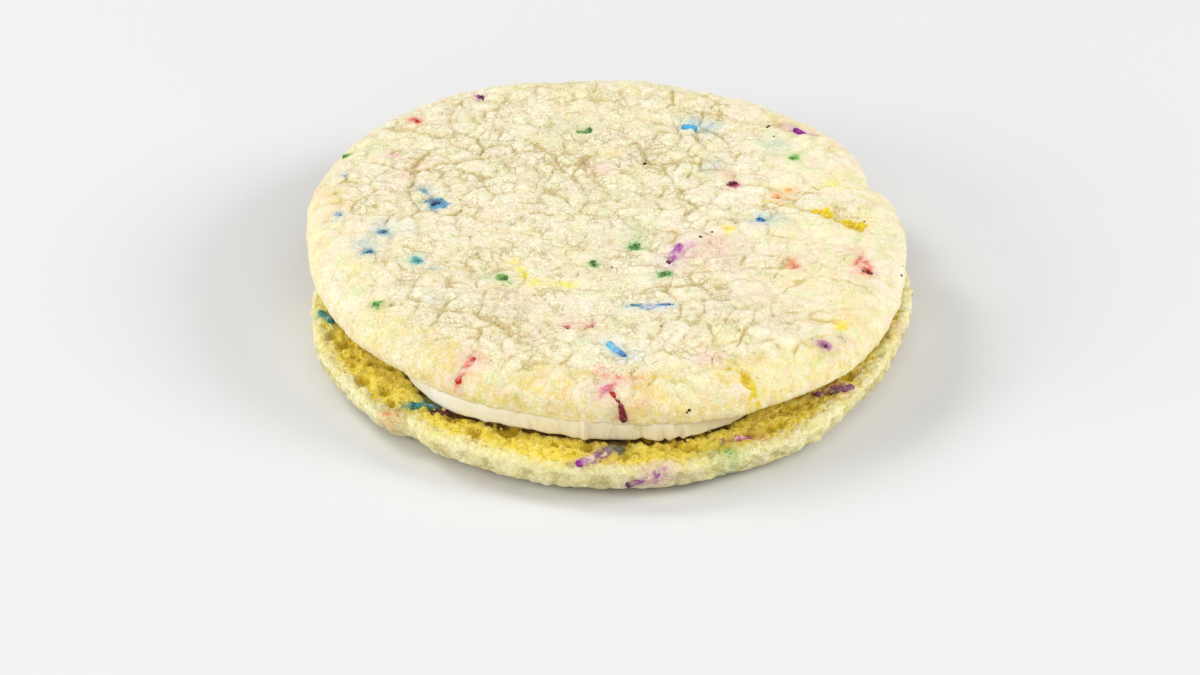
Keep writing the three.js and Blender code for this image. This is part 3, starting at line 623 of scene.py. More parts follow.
# x, y of the end that shows, dye, worn, halo size and strength, halo shift
standingInUpper = [
    (-18.1, -13.6, "green", 0.2, 1.6, 0.55, -1.8, 0.4),
    (4.2, -3.4, "green", 0.25, 2.6, 0.4, 0.3, 4.4),
    (-2.8, -8.6, "green", 0.1, 1.1, 0.5, 0, 0),
    (9.1, -12.1, "green", 0.35, 1.3, 0.5, 0, 0),
    (-32.8, -8.8, "teal", 0.2, 1.7, 0.6, 0, 1.2),
    (-41.2, -5.7, "navy", 0.1, 2.1, 0.35, 0, 1.9),
    (-38.7, 0.4, "navy", 0.25, 2.3, 0.4, -0.2, 2.4),
    (-45.8, 20.3, "slate", 0.3, 1.3, 0.35, 0, 0),
    (-46.3, 6.5, "slate", 0.2, 1.3, 0.45, 0, 0),
    (-22.7, 47.2, "plum", 0.2, 1.1, 0.5, 0, 0),
    (-33.6, 38.8, "red", 0.1, 1.5, 0.7, 0, 0),
    (31.8, 26.0, "leaf", 0.5, 1.4, 0.5, -1.4, 0.9),
    (25.8, 5.3, "blue", 0.3, 2.2, 0.5, 2.0, -0.2),
    (20.4, 1.6, "yellow", 0.9, 1.6, 0.7, 0, 0),
    (28.5, 13.2, "orange", 0.3, 1.7, 0.75, 0.2, 1.0),
    (36.4, -34.5, "plum", 0.15, 1.7, 0.5, -0.6, 0),
    (21.2, 17.8, "crimson", 0.2, 1.2, 0.35, 0, 0),
    (31.1, -10.2, "red", 0.7, 1.3, 0.6, 0.2, 2.2),
]
lyingOnLower = [
    (-3.1, -55.2, 218, -5, 0.3, 6.3, ("umber", "plum", "purple"), (0.9, 1.0, 0), 1.3, 0.4, 0.8, 0.6),
    (-30.6, -37.2, 8, 13, -0.05, 6.3, "teal", (0.2, 0.5, 0.2), 1.5, 0.6, -1.2, 0.2),
    (38.9, -33.2, 28, 4, 0.35, 4.6, ("umber", "plum", "plum"), (0.3, 0.2, 0.5), 1.7, 0.55, -1.2, 0),
    (-48.2, -9.6, 120, 6, 0.3, 5.2, "teal", 0.3, 1.3, 0.4, 0, -1.0),
    (-29.3, -40.0, -38, 0, 0.1, 5.8, ("crimson", "umber", "umber"), 0.0, 1.2, 0.8, 0, 0),
    (23.7, -48.5, 15, 12, -0.1, 6.3, "crimson", (0.7, 0.9, 0.9), 1.3, 0.5, -1, 0),
]
stainsOnSide = [  # x, y, z, size, dye, strength
    (9, -57.6, 5.2, 2.2, "pink", 0.4), (5.5, -58, 4.4, 1.8, "purple", 0.3),
    (49, -12.5, 4.5, 3, "red", 0.3), (-36.5, -40.6, 4.6, 1.8, "red", 0.4),
    (-39, -37.8, 5, 1.6, "leaf", 0.3), (21, -54.5, 5.5, 2.4, "green", 0.45),
]
sideRod = {
    "from": (8.2, -58.0, 5.6), "to": (2.6, -57.95, 3.4), "dye": "plum", "worn": (0.9, 0.8, 0),
    "halo": 1.6, "haloStrength": 0.55,
}
standing = {
    "proud": -0.1, "leastSlope": 32, "mostSlope": 60, "turn": 80, "sunk": 0.8,
    "core": 1.1, "coreStrength": 1.2,
}
# rods out of sight, in the rim below and in the face underneath
hiddenDyes = ["pink", "blue", "yellow", "green", "orange", "red", "teal", "purple"]
hiddenHalo = 0.5
rimRods = {"count": 8, "seed": 71, "in": 1.2, "further": 1.8, "worn": 0.25, "halo": 1.6}
faceRods = {
    "count": 6, "seed": 79, "in": 18, "further": 16, "worn": 0.4, "halo": 1.7,
    "half": 3.15, "deepest": 6.7, "sunk": 0.6, "tilt": 0.11,
}

# stains in the crumb where a rod has melted or lies just below: x, y, size, strength
stainsOnUpper = {
    "pink": [
        (-37.2, 26.1, 1.1, 0.7), (-37.9, 15.6, 2.6, 0.22), (-1.5, 22.7, 2.4, 0.34), (17.2, -4.8, 5.5, 0.48),
        (-1.8, -48, 1.6, 0.5), (15.9, -39.3, 2.3, 0.55), (-22, 6, 8, 0.1), (-14, -22, 6, 0.12),
        (-2, -4, 8, 0.06), (28, -26, 4, 0.16), (22, -20, 4, 0.16),
    ],
    "red": [
        (-35.2, 20, 2, 0.22), (-32, 24.4, 2.2, 0.2), (-50.4, 17.6, 2.2, 0.4), (-18.2, -18.3, 2.6, 0.14),
        (-6.9, -28.4, 2, 0.42), (-3.6, -28.6, 1.9, 0.42), (20, 20.4, 1.4, 0.42), (19, 22.6, 1.2, 0.36),
        (-1.8, -43.4, 1.2, 0.62), (-0.2, -44.6, 1.2, 0.7), (1.2, -45.9, 1.2, 0.7), (3.2, -45.6, 1.7, 0.5),
        (-0.4, -47.4, 1, 0.7),
    ],
    "orange": [
        (-46.9, 11, 3, 0.3), (-50.5, 8, 4, 0.18), (1, 28.3, 1.1, 0.6), (30.7, 15.9, 1.1, 0.75),
        (31.8, 13.6, 2.4, 0.25), (39, 21.3, 2.8, 0.24), (14.1, -11.3, 1.7, 0.3), (42, -26.2, 2.2, 0.28),
        (-7.6, -48.3, 2.6, 0.36), (8, 13, 6, 0.06), (30, -6, 13, 0.1), (38, -24, 11, 0.13),
        (20, -43, 9, 0.12), (-16, -38, 10, 0.1), (-42, -4, 11, 0.08), (-26, -12, 9, 0.08),
        (0, 44, 10, 0.07), (24, 38, 9, 0.08), (5.6, -45.6, 1.2, 0.7), (6.4, -49, 2.4, 0.55),
        (4, -50.6, 1.6, 0.5),
    ],
    "yellow": [
        (-43.9, -10.1, 2.6, 0.4), (-16.2, -7.8, 1.2, 0.55), (-15.3, -10.2, 1.3, 0.95),
        (-14.5, -12.2, 1.2, 0.8), (-12.6, -15.2, 1.5, 0.6), (-6.8, -16.8, 1.3, 0.5),
        (39.1, -28.4, 1.6, 0.95), (36, 2, 5, 0.2), (-5, 42, 5, 0.12), (25, -44, 3, 0.34), (32, -38, 4, 0.3),
        (-36, -28, 4, 0.2), (38.5, 18, 2.8, 0.55), (42, -22, 5, 0.22), (33, -14, 5, 0.2), (20, -33, 5, 0.2),
    ],
    "sky": [(-34.9, 2.2, 1.8, 0.2), (-40.9, -3.4, 2.2, 0.22), (-29.5, -20.3, 2.4, 0.26)],
    "leaf": [
        (-42.7, -17, 2, 0.4), (0.7, 14.7, 2.2, 0.16), (29.5, 4.3, 1.4, 0.6), (43.7, -16.7, 1.7, 0.35),
        (-2.5, -33, 3.2, 0.12), (3.4, 18.5, 3, 0.1), (0, 6, 12, 0.05),
    ],
    "green": [(-39.3, -22.6, 1.2, 1)],
    "umber": [
        (-36.6, -22.9, 1, 0.9), (-31.9, -38.2, 1, 0.5), (6, -50.5, 1.8, 0.16), (39.2, -31.4, 0.8, 0.6),
        (-17.9, -44.7, 1, 0.2),
    ],
    "crimson": [(-7.4, -29.3, 0.8, 0.8), (-3, -29, 0.8, 0.75)],
    "navy": [
        (-30.1, -11, 1, 0.5), (-31.4, 11.2, 0.9, 0.95), (-30, 10.6, 1.3, 1.1), (-28.7, 9.9, 1, 1.1),
    ],
    "slate": [(16.4, 37.4, 2.2, 0.45)],
    "teal": [(28.3, 30.9, 3, 0.4), (2.9, -23.1, 0.8, 0.8)],
    "violet": [(4.6, 27.6, 2.6, 0.16)],
    "blue": [(17.4, 23.2, 2.6, 0.32), (9.9, -22.9, 0.9, 0.75)],
}
stainsOnLower = {
    "umber": [
        (-29.6, -38.6, 1.7, 0.95), (-26.4, -40.2, 1.1, 0.8), (2.2, -52.2, 1.6, 0.7), (34.4, -35, 1.8, 0.6),
        (31.4, -37, 1.6, 0.4), (23, -47.6, 1.1, 0.6), (-2, -54, 6, 0.24), (14, -51, 6, 0.22),
        (26, -45, 5, 0.18),
    ],
    "crimson": [(-28.2, -39.2, 1.3, 0.9)],
    "red": [(-36.6, -39.6, 2.1, 0.5)],
    "green": [(0.5, -52.4, 1.5, 0.7), (19.1, -52.4, 2.8, 0.5)],
    "purple": [(-0.9, -53.6, 2.4, 0.3)],
    "plum": [(37.4, -33, 1.6, 0.5)],
    "yellow": [
        (-49.2, -5, 2.6, 0.6), (28, -39.5, 4, 0.25), (-36, -36, 5, 0.2), (-46, -18, 5, 0.25),
    ],
    "orange": [(-49.4, -3, 2.5, 0.25)],
    "teal": [(-49.2, -7.6, 1.6, 0.3)],
    "leaf": [(-33.6, -39.8, 1.8, 0.35)],
}
seamShadow = {  # painted shadow: the dark line under the buttercream, laid into the lower cookie as umber dye
    "dye": "umber", "size": 0.85, "strength": 0.95, "inward": 0.8, "from": 214, "to": 336, "every": 3,
}


def downAlong(slope, heading):
    level = math.cos(slope)
    return np.array([level * math.cos(heading), level * math.sin(heading), -math.sin(slope)])


def standingEnds(cookie, x, y, height, seed):
    turn = (lot(seed, 1, 61) - 0.5) * math.radians(standing["turn"])
    heading = math.atan2(cookie["y"] - y, cookie["x"] - x) + turn
    least, most = standing["leastSlope"], standing["mostSlope"]
    slope = math.radians(least + (most - least) * lot(seed, 2, 61))
    length = min(rod["length"], standing["sunk"] * height / math.sin(slope))
    tip = np.array([x, y, height + standing["proud"]])
    return tip, tip + length * downAlong(slope, heading)


stations = np.array([-0.5, -0.25, 0, 0.25, 0.5])  # along a lying rod, where it is bent
straight = 0 * stations


def lyingEnds(heightAt, x, y, heading, pitch, proud, spread, drape):
    # both ends, and how far the rod strays from the straight line between them
    turn = math.radians(heading)
    places = [(x + spread * way * math.cos(turn), y + spread * way * math.sin(turn)) for way in stations]
    heights = np.array([heightAt(*place) for place in places])
    heights += proud - rod["radius"] - stations * spread * math.sin(math.radians(pitch))
    start, end = (np.array([*places[k], heights[k]]) for k in (0, -1))
    return start, end, drape * (heights - heights[0] - (stations + 0.5) * (heights[-1] - heights[0]))


def pickParts(kind):  # edges or faces, with none of them selected yet
    bpy.ops.object.mode_set(mode="EDIT")
    bpy.ops.mesh.select_mode(type=kind)
    bpy.ops.mesh.select_all(action="DESELECT")
    bpy.ops.object.mode_set(mode="OBJECT")


def modelRod():
    # a round bar with blunt, rounded ends, lying along X
    pickNothing()
    bpy.ops.mesh.primitive_cylinder_add(vertices=rod["sides"], radius=rod["radius"] * mm,
                                        depth=rod["length"] * mm, rotation=(0, math.pi / 2, 0))
    bar = bpy.context.active_object
    bpy.ops.object.transform_apply(location=True, rotation=True, scale=True)
    half = rod["length"] / 2 * mm
    pickParts("EDGE")
    for edge in bar.data.edges:
        a, b = (bar.data.vertices[v].co for v in edge.vertices)
        edge.select = abs(a.x - b.x) > half
    bpy.ops.object.mode_set(mode="EDIT")
    bpy.ops.mesh.subdivide(number_cuts=rod["slices"])
    pickParts("FACE")
    for face in bar.data.polygons:
        face.select = abs(face.normal.x) > 0.9
    bpy.ops.object.mode_set(mode="EDIT")
    bpy.ops.mesh.bevel(offset=rod["blunt"] * mm, segments=3, affect="EDGES")
    bpy.ops.object.mode_set(mode="OBJECT")
    return bar


def copyOf(model):  # a copy with its own mesh, and its points in millimetres
    copy = model.copy()
    copy.data = model.data.copy()
    bpy.context.collection.objects.link(copy)
    return copy, readPoints(copy) / mm


def joined(name, copies):
    pickNothing()
    for copy in copies:
        copy.select_set(True)
    bpy.context.view_layer.objects.active = copies[0]
    bpy.ops.object.join()
    piece = bpy.context.active_object
    piece.name = piece.data.name = name
    bpy.ops.object.shade_smooth()
    return piece


def blended(along, stops, colours):  # a colour that changes along a rod
    return np.column_stack([np.interp(along, stops, channel) for channel in np.transpose(colours)])


def layRods(name, bar, rods):
    # copies of the bar, each slightly bent and dented, and joined to one piece
    copies = []
    for k, (start, end, dye, worn, sag) in enumerate(rods):
        copy, points = copyOf(bar)
        own = points + 20 * k  # so that no two rods are worn alike
        length = np.linalg.norm(end - start)
        forward = (end - start) / length
        sideways = np.cross(forward, [0, 0, 1.0])
        sideways = sideways / np.linalg.norm(sideways)
        upward = np.cross(sideways, forward)
        along = points[:, 0] / rod["length"]
        dents = 0.9 + rod["dentDepth"] * grain(own, rod["dentSize"], 331)
        dents = dents + rod["gritDepth"] * grain(own, rod["gritSize"], 332)
        bend = rod["bend"] * (2 * lot(k, 5, 333) - 1) * (1 - 4 * along ** 2)
        placed = (start + end)[None, :] / 2 + np.outer(along * length, forward)
        placed[:, 2] += np.interp(along, stations, sag)
        placed = placed + np.outer(points[:, 1] * dents + bend, sideways)
        placed = placed + np.outer(points[:, 2] * dents, upward)
        writePoints(copy, (placed + shift) * mm)

        names = dye if isinstance(dye, tuple) else (dye,) * 3
        base, faded = (blended(along, (-0.4, 0, 0.4), [way(name) for name in names])
                       for way in (plain, pastel))
        speckle = 0.5 + 0.5 * grain(own, rod["speckleSize"], 334)
        washed = worn if isinstance(worn, tuple) else (0.2 * worn, worn, 0.2 * worn)
        pale = np.interp(along, (-0.45, 0, 0.45), washed) * (0.3 + 1.4 * speckle)
        pale = np.clip(pale, 0, 0.9)[:, None]
        dark = (0.65 + 0.75 * speckle) * (1 - 0.2 * smooth(0.3, 0.5, np.abs(along)))
        fleck = smooth(0.4, 0.7, 0.5 + 0.5 * grain(own, rod["fleckSize"], 335))[:, None] * pale
        tint = base * dark[:, None] * (1 - pale) + faded * pale
        tint = tint * (1 - fleck) + np.array(paint(*rod["dough"]))[None, :3] * fleck
        addTone(copy, "dye", np.column_stack([tint, np.ones(len(points))]))
        copies.append(copy)
    piece = joined(name, copies)
    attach(piece, "root")
    return piece


def soak(x, y, z, halos, stains, heightAt):
    # how much dye each point of the crumb has drawn, and its colour; on the lower cookie it also carries
    # the painted shadow under the buttercream
    total = np.zeros(x.shape)
    colour = np.zeros((len(x), 3))
    clean = np.ones(x.shape)
    s = soaking
    wx = x + s["bleed"] * hills(x, y, s["bleedSize"], 341) + s["fray"] * hills(x, y, s["fraySize"], 343)
    wy = y + s["bleed"] * hills(x, y, s["bleedSize"], 342) + s["fray"] * hills(x, y, s["fraySize"], 344)
    blotch = s["even"] + s["blotch"] * hills(x, y, s["blotchSize"], 345)
    blotch = blotch + s["mottle"] * hills(x, y, s["mottleSize"], 346)
    spots = list(halos)
    for dye, places in stains.items():
        for sx, sy, size, strength in places:
            place = (sx, sy, heightAt(sx, sy))
            spots.append((place, place, size, dye, strength))
    for (ax, ay, az), (bx, by, bz), size, dye, strength in spots:
        dye = dye[1] if isinstance(dye, tuple) else dye
        spanX, spanY = bx - ax, by - ay
        long = max(1e-9, spanX ** 2 + spanY ** 2)
        share = np.clip(((wx - ax) * spanX + (wy - ay) * spanY) / long, 0, 1)
        gap = np.hypot(wx - ax - share * spanX, wy - ay - share * spanY)
        gap = np.hypot(gap, s["downwards"] * (z - az - share * (bz - az)))
        amount = np.clip(strength * np.exp(-(gap / size) ** 2) * blotch, 0, 1)
        deep = smooth(s["deepFrom"], s["deepTo"], amount)[:, None]
        tint = plain(dye)[None, :] * deep + pastel(dye)[None, :] * (1 - deep)
        colour += amount[:, None] * tint
        total += amount
        clean *= 1 - amount
    colour /= np.maximum(total, 1e-6)[:, None]
    return np.column_stack([colour, 1 - clean])


def heightOverUpper(x, y):  # the face and its shoulder
    px, py = each(x, y)
    angle, inset = placeOn(upperCookie, px, py)
    face, crease, gold = upperFace(px, py, inset)
    belt, lean = upperCookie["belt"], np.arccos(np.clip(1 - inset / upperCookie["shoulder"], 0, 1))
    return upperCookie["baseZ"] + one(belt + (face - belt) * np.sin(lean))


def heightOverLower(x, y):
    px, py = each(x, y)
    angle, inset = placeOn(lowerCookie, px, py)
    base, pitted, rough = lowerBase(px, py, np.maximum(inset, 0))
    return lowerCookie["baseZ"] - one(base) + 0.25 * one(pitted)


def lieOn(heightAt, rows, lift, drape):
    rods, halos = [], []
    for x, y, heading, pitch, proud, spread, dye, worn, haloSize, haloStrength, shiftX, shiftY in rows:
        start, end, sag = lyingEnds(heightAt, x, y, heading, pitch, proud + lift, spread, drape)
        rods.append((start, end, dye, worn, sag))
        aside = np.array([shiftX, shiftY, 0])
        halos.append((start + aside, end + aside, haloSize, dye, haloStrength))
    return rods, halos


def lowerFaceAt(x, y):
    return one(lowerFace(*each(x, y))[0])


def hiddenPlace(k, rule):
    angle = math.radians((k + 0.7 * lot(k, 1, rule["seed"])) / rule["count"] * 360)
    return inFromRim(lowerCookie, angle, rule["in"] + rule["further"] * lot(k, 2, rule["seed"]))


upperRods, upperHalos = lieOn(heightOverUpper, lyingOnUpper, 0, rod["drapeOnUpper"])
for k, (x, y, dye, worn, haloSize, haloStrength, shiftX, shiftY) in enumerate(standingInUpper):
    floor = upperCookie["baseZ"]
    tip, foot = standingEnds(upperCookie, x, y, heightOverUpper(x, y) - floor, k)
    tip[2], foot[2] = tip[2] + floor, foot[2] + floor
    upperRods.append((tip, foot, dye, worn, straight))
    upperHalos.append((tip, tip + np.array([shiftX, shiftY, 0]), haloSize, dye, haloStrength))
    upperHalos.append((tip, tip, standing["core"], dye, standing["coreStrength"]))

lowerRods, lowerHalosAndShade = lieOn(heightOverLower, lyingOnLower, rod["liftOnLower"], rod["drapeOnLower"])
start, end = np.array(sideRod["from"]), np.array(sideRod["to"])
lowerRods.append((start, end, sideRod["dye"], sideRod["worn"], straight))
lowerHalosAndShade.append((start, end, sideRod["halo"], sideRod["dye"], sideRod["haloStrength"]))
for x, y, z, size, dye, strength in stainsOnSide:
    lowerHalosAndShade.append(((x, y, z), (x, y, z), size, dye, strength))
turnedAt, belt = lowerCookie["baseZ"], lowerCookie["belt"]
for k in range(rimRods["count"]):  # rods in the rim, as the solid has them
    x, y = hiddenPlace(k, rimRods)
    inset = one(placeOn(lowerCookie, *each(x, y))[1])
    lean = math.sqrt(1 - (1 - inset / lowerCookie["shoulder"]) ** 2)
    height = belt + (lowerFaceAt(x, y) - belt) * lean
    tip, foot = standingEnds(lowerCookie, x, y, height, k + len(standingInUpper))
    tip[2], foot[2] = turnedAt - tip[2], turnedAt - foot[2]
    lowerRods.append((tip, foot, hiddenDyes[k], rimRods["worn"], straight))
    lowerHalosAndShade.append((tip, tip, rimRods["halo"], hiddenDyes[k], hiddenHalo))
for k in range(faceRods["count"]):  # rods in the face underneath
    x, y = hiddenPlace(k, faceRods)
    turn, ends = 2 * math.pi * lot(k, 3, faceRods["seed"]), []
    for way in (-1, 1):
        reach = way * faceRods["half"]
        px, py = x + reach * math.cos(turn), y + reach * math.sin(turn)
        face = min(lowerFaceAt(px, py), faceRods["deepest"])
        ends.append(np.array([px, py, turnedAt - face + faceRods["sunk"] + way * faceRods["tilt"]]))
    dye = hiddenDyes[(k + 3) % len(hiddenDyes)]
    lowerRods.append((ends[0], ends[1], dye, faceRods["worn"], straight))
    lowerHalosAndShade.append((ends[0], ends[1], faceRods["halo"], dye, hiddenHalo))
# painted shadow along the lower edge of the buttercream, as a chain of umber stains
seam = []
for degrees in range(seamShadow["from"], seamShadow["to"], seamShadow["every"]):
    angle = math.radians(degrees)
    reach = one(creamEdge(*each(angle))[0]) - seamShadow["inward"]
    seam.append((*around(cream, reach, angle), turnedAt))
for start, end in zip(seam, seam[1:]):
    lowerHalosAndShade.append((start, end, seamShadow["size"], seamShadow["dye"], seamShadow["strength"]))
print("sprinkles placed")


# shape the cookies

def skinOf(cookie, inset):  # how closed the skin is: least at the rim
    least = cookie["skinLeast"]
    return least + (1 - least) * smooth(cookie["skinFrom"], cookie["skinTo"], inset)


def makeUpper():
    u = upperCookie
    piece = cookieBlank("upper_cookie", u)
    x, y, inset, rise, onBase = followProfile(u, readPoints(piece))
    face, crease, gold = upperFace(x, y, inset)
    porous = (1 - lumps(x, y, crinkle["poreSize"], 351)) * smooth(0.5, 2, inset)
    belt = u["belt"]
    z = belt + (np.where(onBase, crinkle["poreDepth"] * porous, face) - belt) * rise
    side, share = beside(cracks[0], x, y)
    cut, away = crackAt(cracks[0], x, y)
    ends = 1 - smooth(lip["endFrom"], lip["endTo"], np.abs(share))
    near = np.exp(-(away / lip["near"]) ** 2) * (1 - np.clip(cut / lip["cut"], 0, 1))
    reach = lip["overhang"] * ends * near * (side < 0) * ~onBase
    y = y + reach  # the near lip leans out over the crack
    x = x + 0.3 * reach
    points = np.column_stack([x, y, z + u["baseZ"]]) + shift
    writePoints(piece, points * mm)
    bake = np.where(onBase, smooth(0.5, 1, rise) * smooth(u["goldFrom"], u["goldTo"], inset), 0)
    flaky = np.where(onBase, 0, flakedShare(u, x, y, inset))
    rough = flakes(points, u)
    low = (1 - smooth(0.2, 1.0, rise)) * 0.5 + smooth(0.1, -0.5, rough) * smooth(0.5, 2, inset) * 0.5
    bake = np.maximum(bake, np.where(onBase, 0.3, low * u["rimGold"] * flaky))
    edges = np.exp(-((rough + 0.16) / 0.08) ** 2) * smooth(-0.1, 0.4, grain(points, 2.6, 395))
    crease = np.where(onBase, 0, np.clip(crease + 0.4 * flaky * edges, 0, 1))
    bake = np.maximum(bake, gold)
    pored = np.where(onBase, porous, 0)
    dye = soak(x, y, z + u["baseZ"], upperHalos, stainsOnUpper, heightOverUpper)
    dye[:, 3] *= np.where(onBase, soaking["onBase"], 1)
    addTone(piece, "dye", dye)
    skin = np.where(onBase, 0, skinOf(u, inset)) * (1 - 0.6 * toRight(x))
    addTone(piece, "tone", np.column_stack([crease, bake, pored, skin]))
    closeUp(piece)
    points, normals = readPoints(piece) / mm, readNormals(piece)
    x, y = (points[:, :2] - shift[:2]).T
    inset = placeOn(u, x, y)[1]
    flaky = flakedShare(u, x, y, inset) * smooth(0.6, 1.4, points[:, 2] - u["baseZ"])
    broken = smooth(-0.4, 0.3, grain(points, u["flakePatch"], 396))
    step = (smooth(-0.14, 0.1, flakes(points, u)) - u["flakeLevel"]) * broken
    writePoints(piece, (points + normals * (u["flakeRise"] * step * flaky)[:, None]) * mm)
    onFace = smooth(2, 8, inset)
    crumble(piece, u["crumbSize"], u["crumbDepth"], 361, 1 - (1 - u["crumbOnFace"]) * onFace)
    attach(piece, "root")
    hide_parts("top_cookie")
    return piece


def makeLower():
    u = lowerCookie
    piece = cookieBlank("lower_cookie", u)
    x, y, inset, rise, onBase = followProfile(u, readPoints(piece))
    base, pitted, rough = lowerBase(x, y, inset)
    face, crease = lowerFace(x, y)
    belt = u["belt"]
    z = belt + (np.where(onBase, base, face) - belt) * rise
    points = np.column_stack([x, y, u["baseZ"] - z]) + shift
    writePoints(piece, points * mm)
    ragged = inset + u["goldStray"] * hills(x, y, u["straySize"], 381)
    ragged = ragged + u["goldFray"] * hills(x, y, u["fraySize"], 382)
    bake = np.where(onBase, smooth(u["goldFrom"], u["goldTo"], ragged), 0)
    dye = soak(x, y, u["baseZ"] - z, lowerHalosAndShade, stainsOnLower, heightOverLower)
    addTone(piece, "dye", dye)
    skin = np.where(onBase, 0, skinOf(u, inset))
    # on the base the tone darkens with the crumb's hollows: painted shade
    crease, pitted = np.where(onBase, 0.4 * rough, crease), np.where(onBase, pitted, 0)
    addTone(piece, "tone", np.column_stack([crease, bake, pitted, skin]))
    closeUp(piece)
    height = readPoints(piece)[:, 2] / mm
    crumble(piece, u["crumbSize"], u["crumbDepth"], 371, smooth(0.6, 2.5, height))
    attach(piece, "root")
    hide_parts("bottom_cookie")
    return piece


upperPiece = makeUpper()
print("upper cookie shaped:", len(upperPiece.data.polygons), "faces")
lowerPiece = makeLower()
print("lower cookie shaped:", len(lowerPiece.data.polygons), "faces")

bar = modelRod()
upperSprinkles = layRods("sprinkles_upper", bar, upperRods)
lowerSprinkles = layRods("sprinkles_lower", bar, lowerRods)
bpy.data.objects.remove(bar)
print("sprinkles laid:", len(upperRods) + len(lowerRods))


# buttercream: a soft band between the cookies, dragged downwards in front

def makeCream():
    # rings from the middle of the top round the side to the middle of the underside
    c = cream
    first = len(c["topRings"])
    below = first + len(c["side"])
    last = below + len(c["drawnIn"])
    pickNothing()
    bpy.ops.mesh.primitive_circle_add(vertices=c["columns"], radius=1, fill_type="NOTHING")
    piece = bpy.context.active_object
    piece.name = piece.data.name = "cream_filling"
    bpy.ops.object.mode_set(mode="EDIT")
    bpy.ops.mesh.select_all(action="SELECT")
    addRings(last + 1)
    points = readPoints(piece)
    angle = np.arctan2(points[:, 1], points[:, 0])
    ring = np.round((np.hypot(points[:, 0], points[:, 1]) - 1) / ringStep).astype(int)
    edge, pressed = creamEdge(angle)
    inFront = np.sin(angle) < 0
    arc = angle * c["arcRadius"]
    sx = c["x"] + edge * np.cos(angle)
    ripple = 0.7 * hills(arc, 0 * arc, c["rippleSize"], 401)
    ripple = ripple + 0.5 * hills(arc, 0 * arc, c["rippleFine"], 402)
    hem = c["hem"] + c["hemWander"] * ripple
    pull = np.zeros(angle.shape)
    for place, width, length in c["drips"]:
        drip = length * np.exp(-((sx - place) / width) ** 2 * c["dripSharp"]) * inFront
        hem = hem - drip
        pull = np.maximum(pull, drip)
    lowest = c["footZ"] + c["hemGap"]
    hem = lowest + np.maximum(0, hem - lowest) * pressed
    z = np.full(angle.shape, c["topZ"])
    radius = np.zeros(angle.shape)
    for k, share in enumerate(c["topRings"]):
        radius[ring == k] = share * (edge[ring == k] - 2)
    for k, (height, out) in enumerate(c["side"]):
        at = ring == first + k
        s, lapped = arc[at], pressed[at]
        top = 0.8 + c["lapWander"] * hills(s, 0 * s, c["lapSize"], 403)
        top = c["topZ"] + c["lap"] * lapped * top
        z[at] = hem[at] + (top - hem[at]) * height
        fine = hills(s, z[at] * 0.35, 0.55, 411) * 0.6 + hills(s, z[at] * 0.3, 1.1, 412)
        wide = hills(s, z[at] * 0.22, 2.7, 413) + 0.5 * hills(s, z[at] * 0.6, 6.5, 414)
        shown = 1 - abs(2 * height - 1) ** 4
        drag = c["dragFine"] * fine + c["dragWide"] * wide
        radius[at] = edge[at] + out + shown * drag + c["dripBulge"] * pull[at] * (1 - height)
        for place, width, reach in c["strands"]:
            past = sx[at] - place + c["strandLean"] * (height - 0.5)
            strand = reach * np.exp(-(past / width) ** 2)
            radius[at] += strand * inFront[at] * lapped
    for k, (drop, out) in enumerate(c["drawnIn"]):
        at = ring == below + k
        z[at] = hem[at] + drop * (hem[at] - c["footZ"])
        ruffle = 0.2 * hills(arc[at], 0 * arc[at], 1.4, 415)
        radius[at] = edge[at] + out * (0.35 + 0.65 * pressed[at]) + ruffle
    z[ring >= last] = c["footZ"]
    for k, share in enumerate(c["underRings"]):
        radius[ring == last + k] = share * edge[ring == last + k]
    placed = np.column_stack([*around(c, radius, angle), z])
    writePoints(piece, (placed + shift) * mm)
    closeUp(piece)
    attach(piece, "root")
    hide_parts("buttercream")
    return piece


creamPiece = makeCream()
print("buttercream shaped:", len(creamPiece.data.polygons), "faces")


# loose crumbs on the lower cookie's band, and dark flecks in the upper one

crumbs = {
    "count": 70, "least": 0.18, "most": 0.42, "from": 175, "to": 355, "in": 1.2, "further": 7,
    "flatness": 0.75, "sunk": 0.15,
}
flecks = [  # x, y, size
    (6, 23.7, 0.36), (27.2, 37.2, 0.3), (27.5, 37.7, 0.26), (28.3, 33.6, 0.22), (20.6, 18.4, 0.3),
    (21.2, 17.9, 0.42), (21.6, 17.6, 0.34), (15.4, -1.3, 0.32), (17.4, 0.4, 0.26), (0.3, -9.4, 0.24),
    (8.5, -29, 0.22), (13.2, -50.4, 0.36), (12.8, -50.6, 0.26), (49.4, -7.6, 0.32), (43.4, 5.6, 0.24),
    (43.6, -11.6, 0.4), (44.2, -11.9, 0.34), (42.9, -11.4, 0.26), (-31.6, -38.9, 0.3), (-31, -39.2, 0.36),
    (-30.4, -39.5, 0.34), (-29.8, -39.8, 0.24), (3.4, -3.6, 0.2), (4.6, -4.4, 0.22), (5, -2.8, 0.18),
    (-18.4, -13.9, 0.2), (-17.6, -14.1, 0.22), (-2.7, -8.9, 0.2), (9.3, -12.4, 0.2), (8.7, -11.7, 0.16),
    (26, 5.4, 0.26), (26.4, 5, 0.2), (-29.2, 10.4, 0.3), (-38.6, 0.2, 0.24), (-41.2, -5.9, 0.24),
    (-3, -29.4, 0.2), (-7.2, -29.8, 0.24), (6.4, -22.8, 0.3), (9.9, -22.6, 0.3),
]
fleckFlatness = 0.6


def strew(name, lump, places, flatness, seed):  # rough little lumps, joined to one piece
    copies = []
    for k, (place, size) in enumerate(places):
        copy, points = copyOf(lump)
        rough = (1 + 0.35 * grain(points + 9 * k, 0.7, seed))[:, None]
        points = points * rough * size * np.array([1, 1, flatness])
        writePoints(copy, (points + place + shift) * mm)
        copies.append(copy)
    piece = joined(name, copies)
    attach(piece, "root")
    return piece


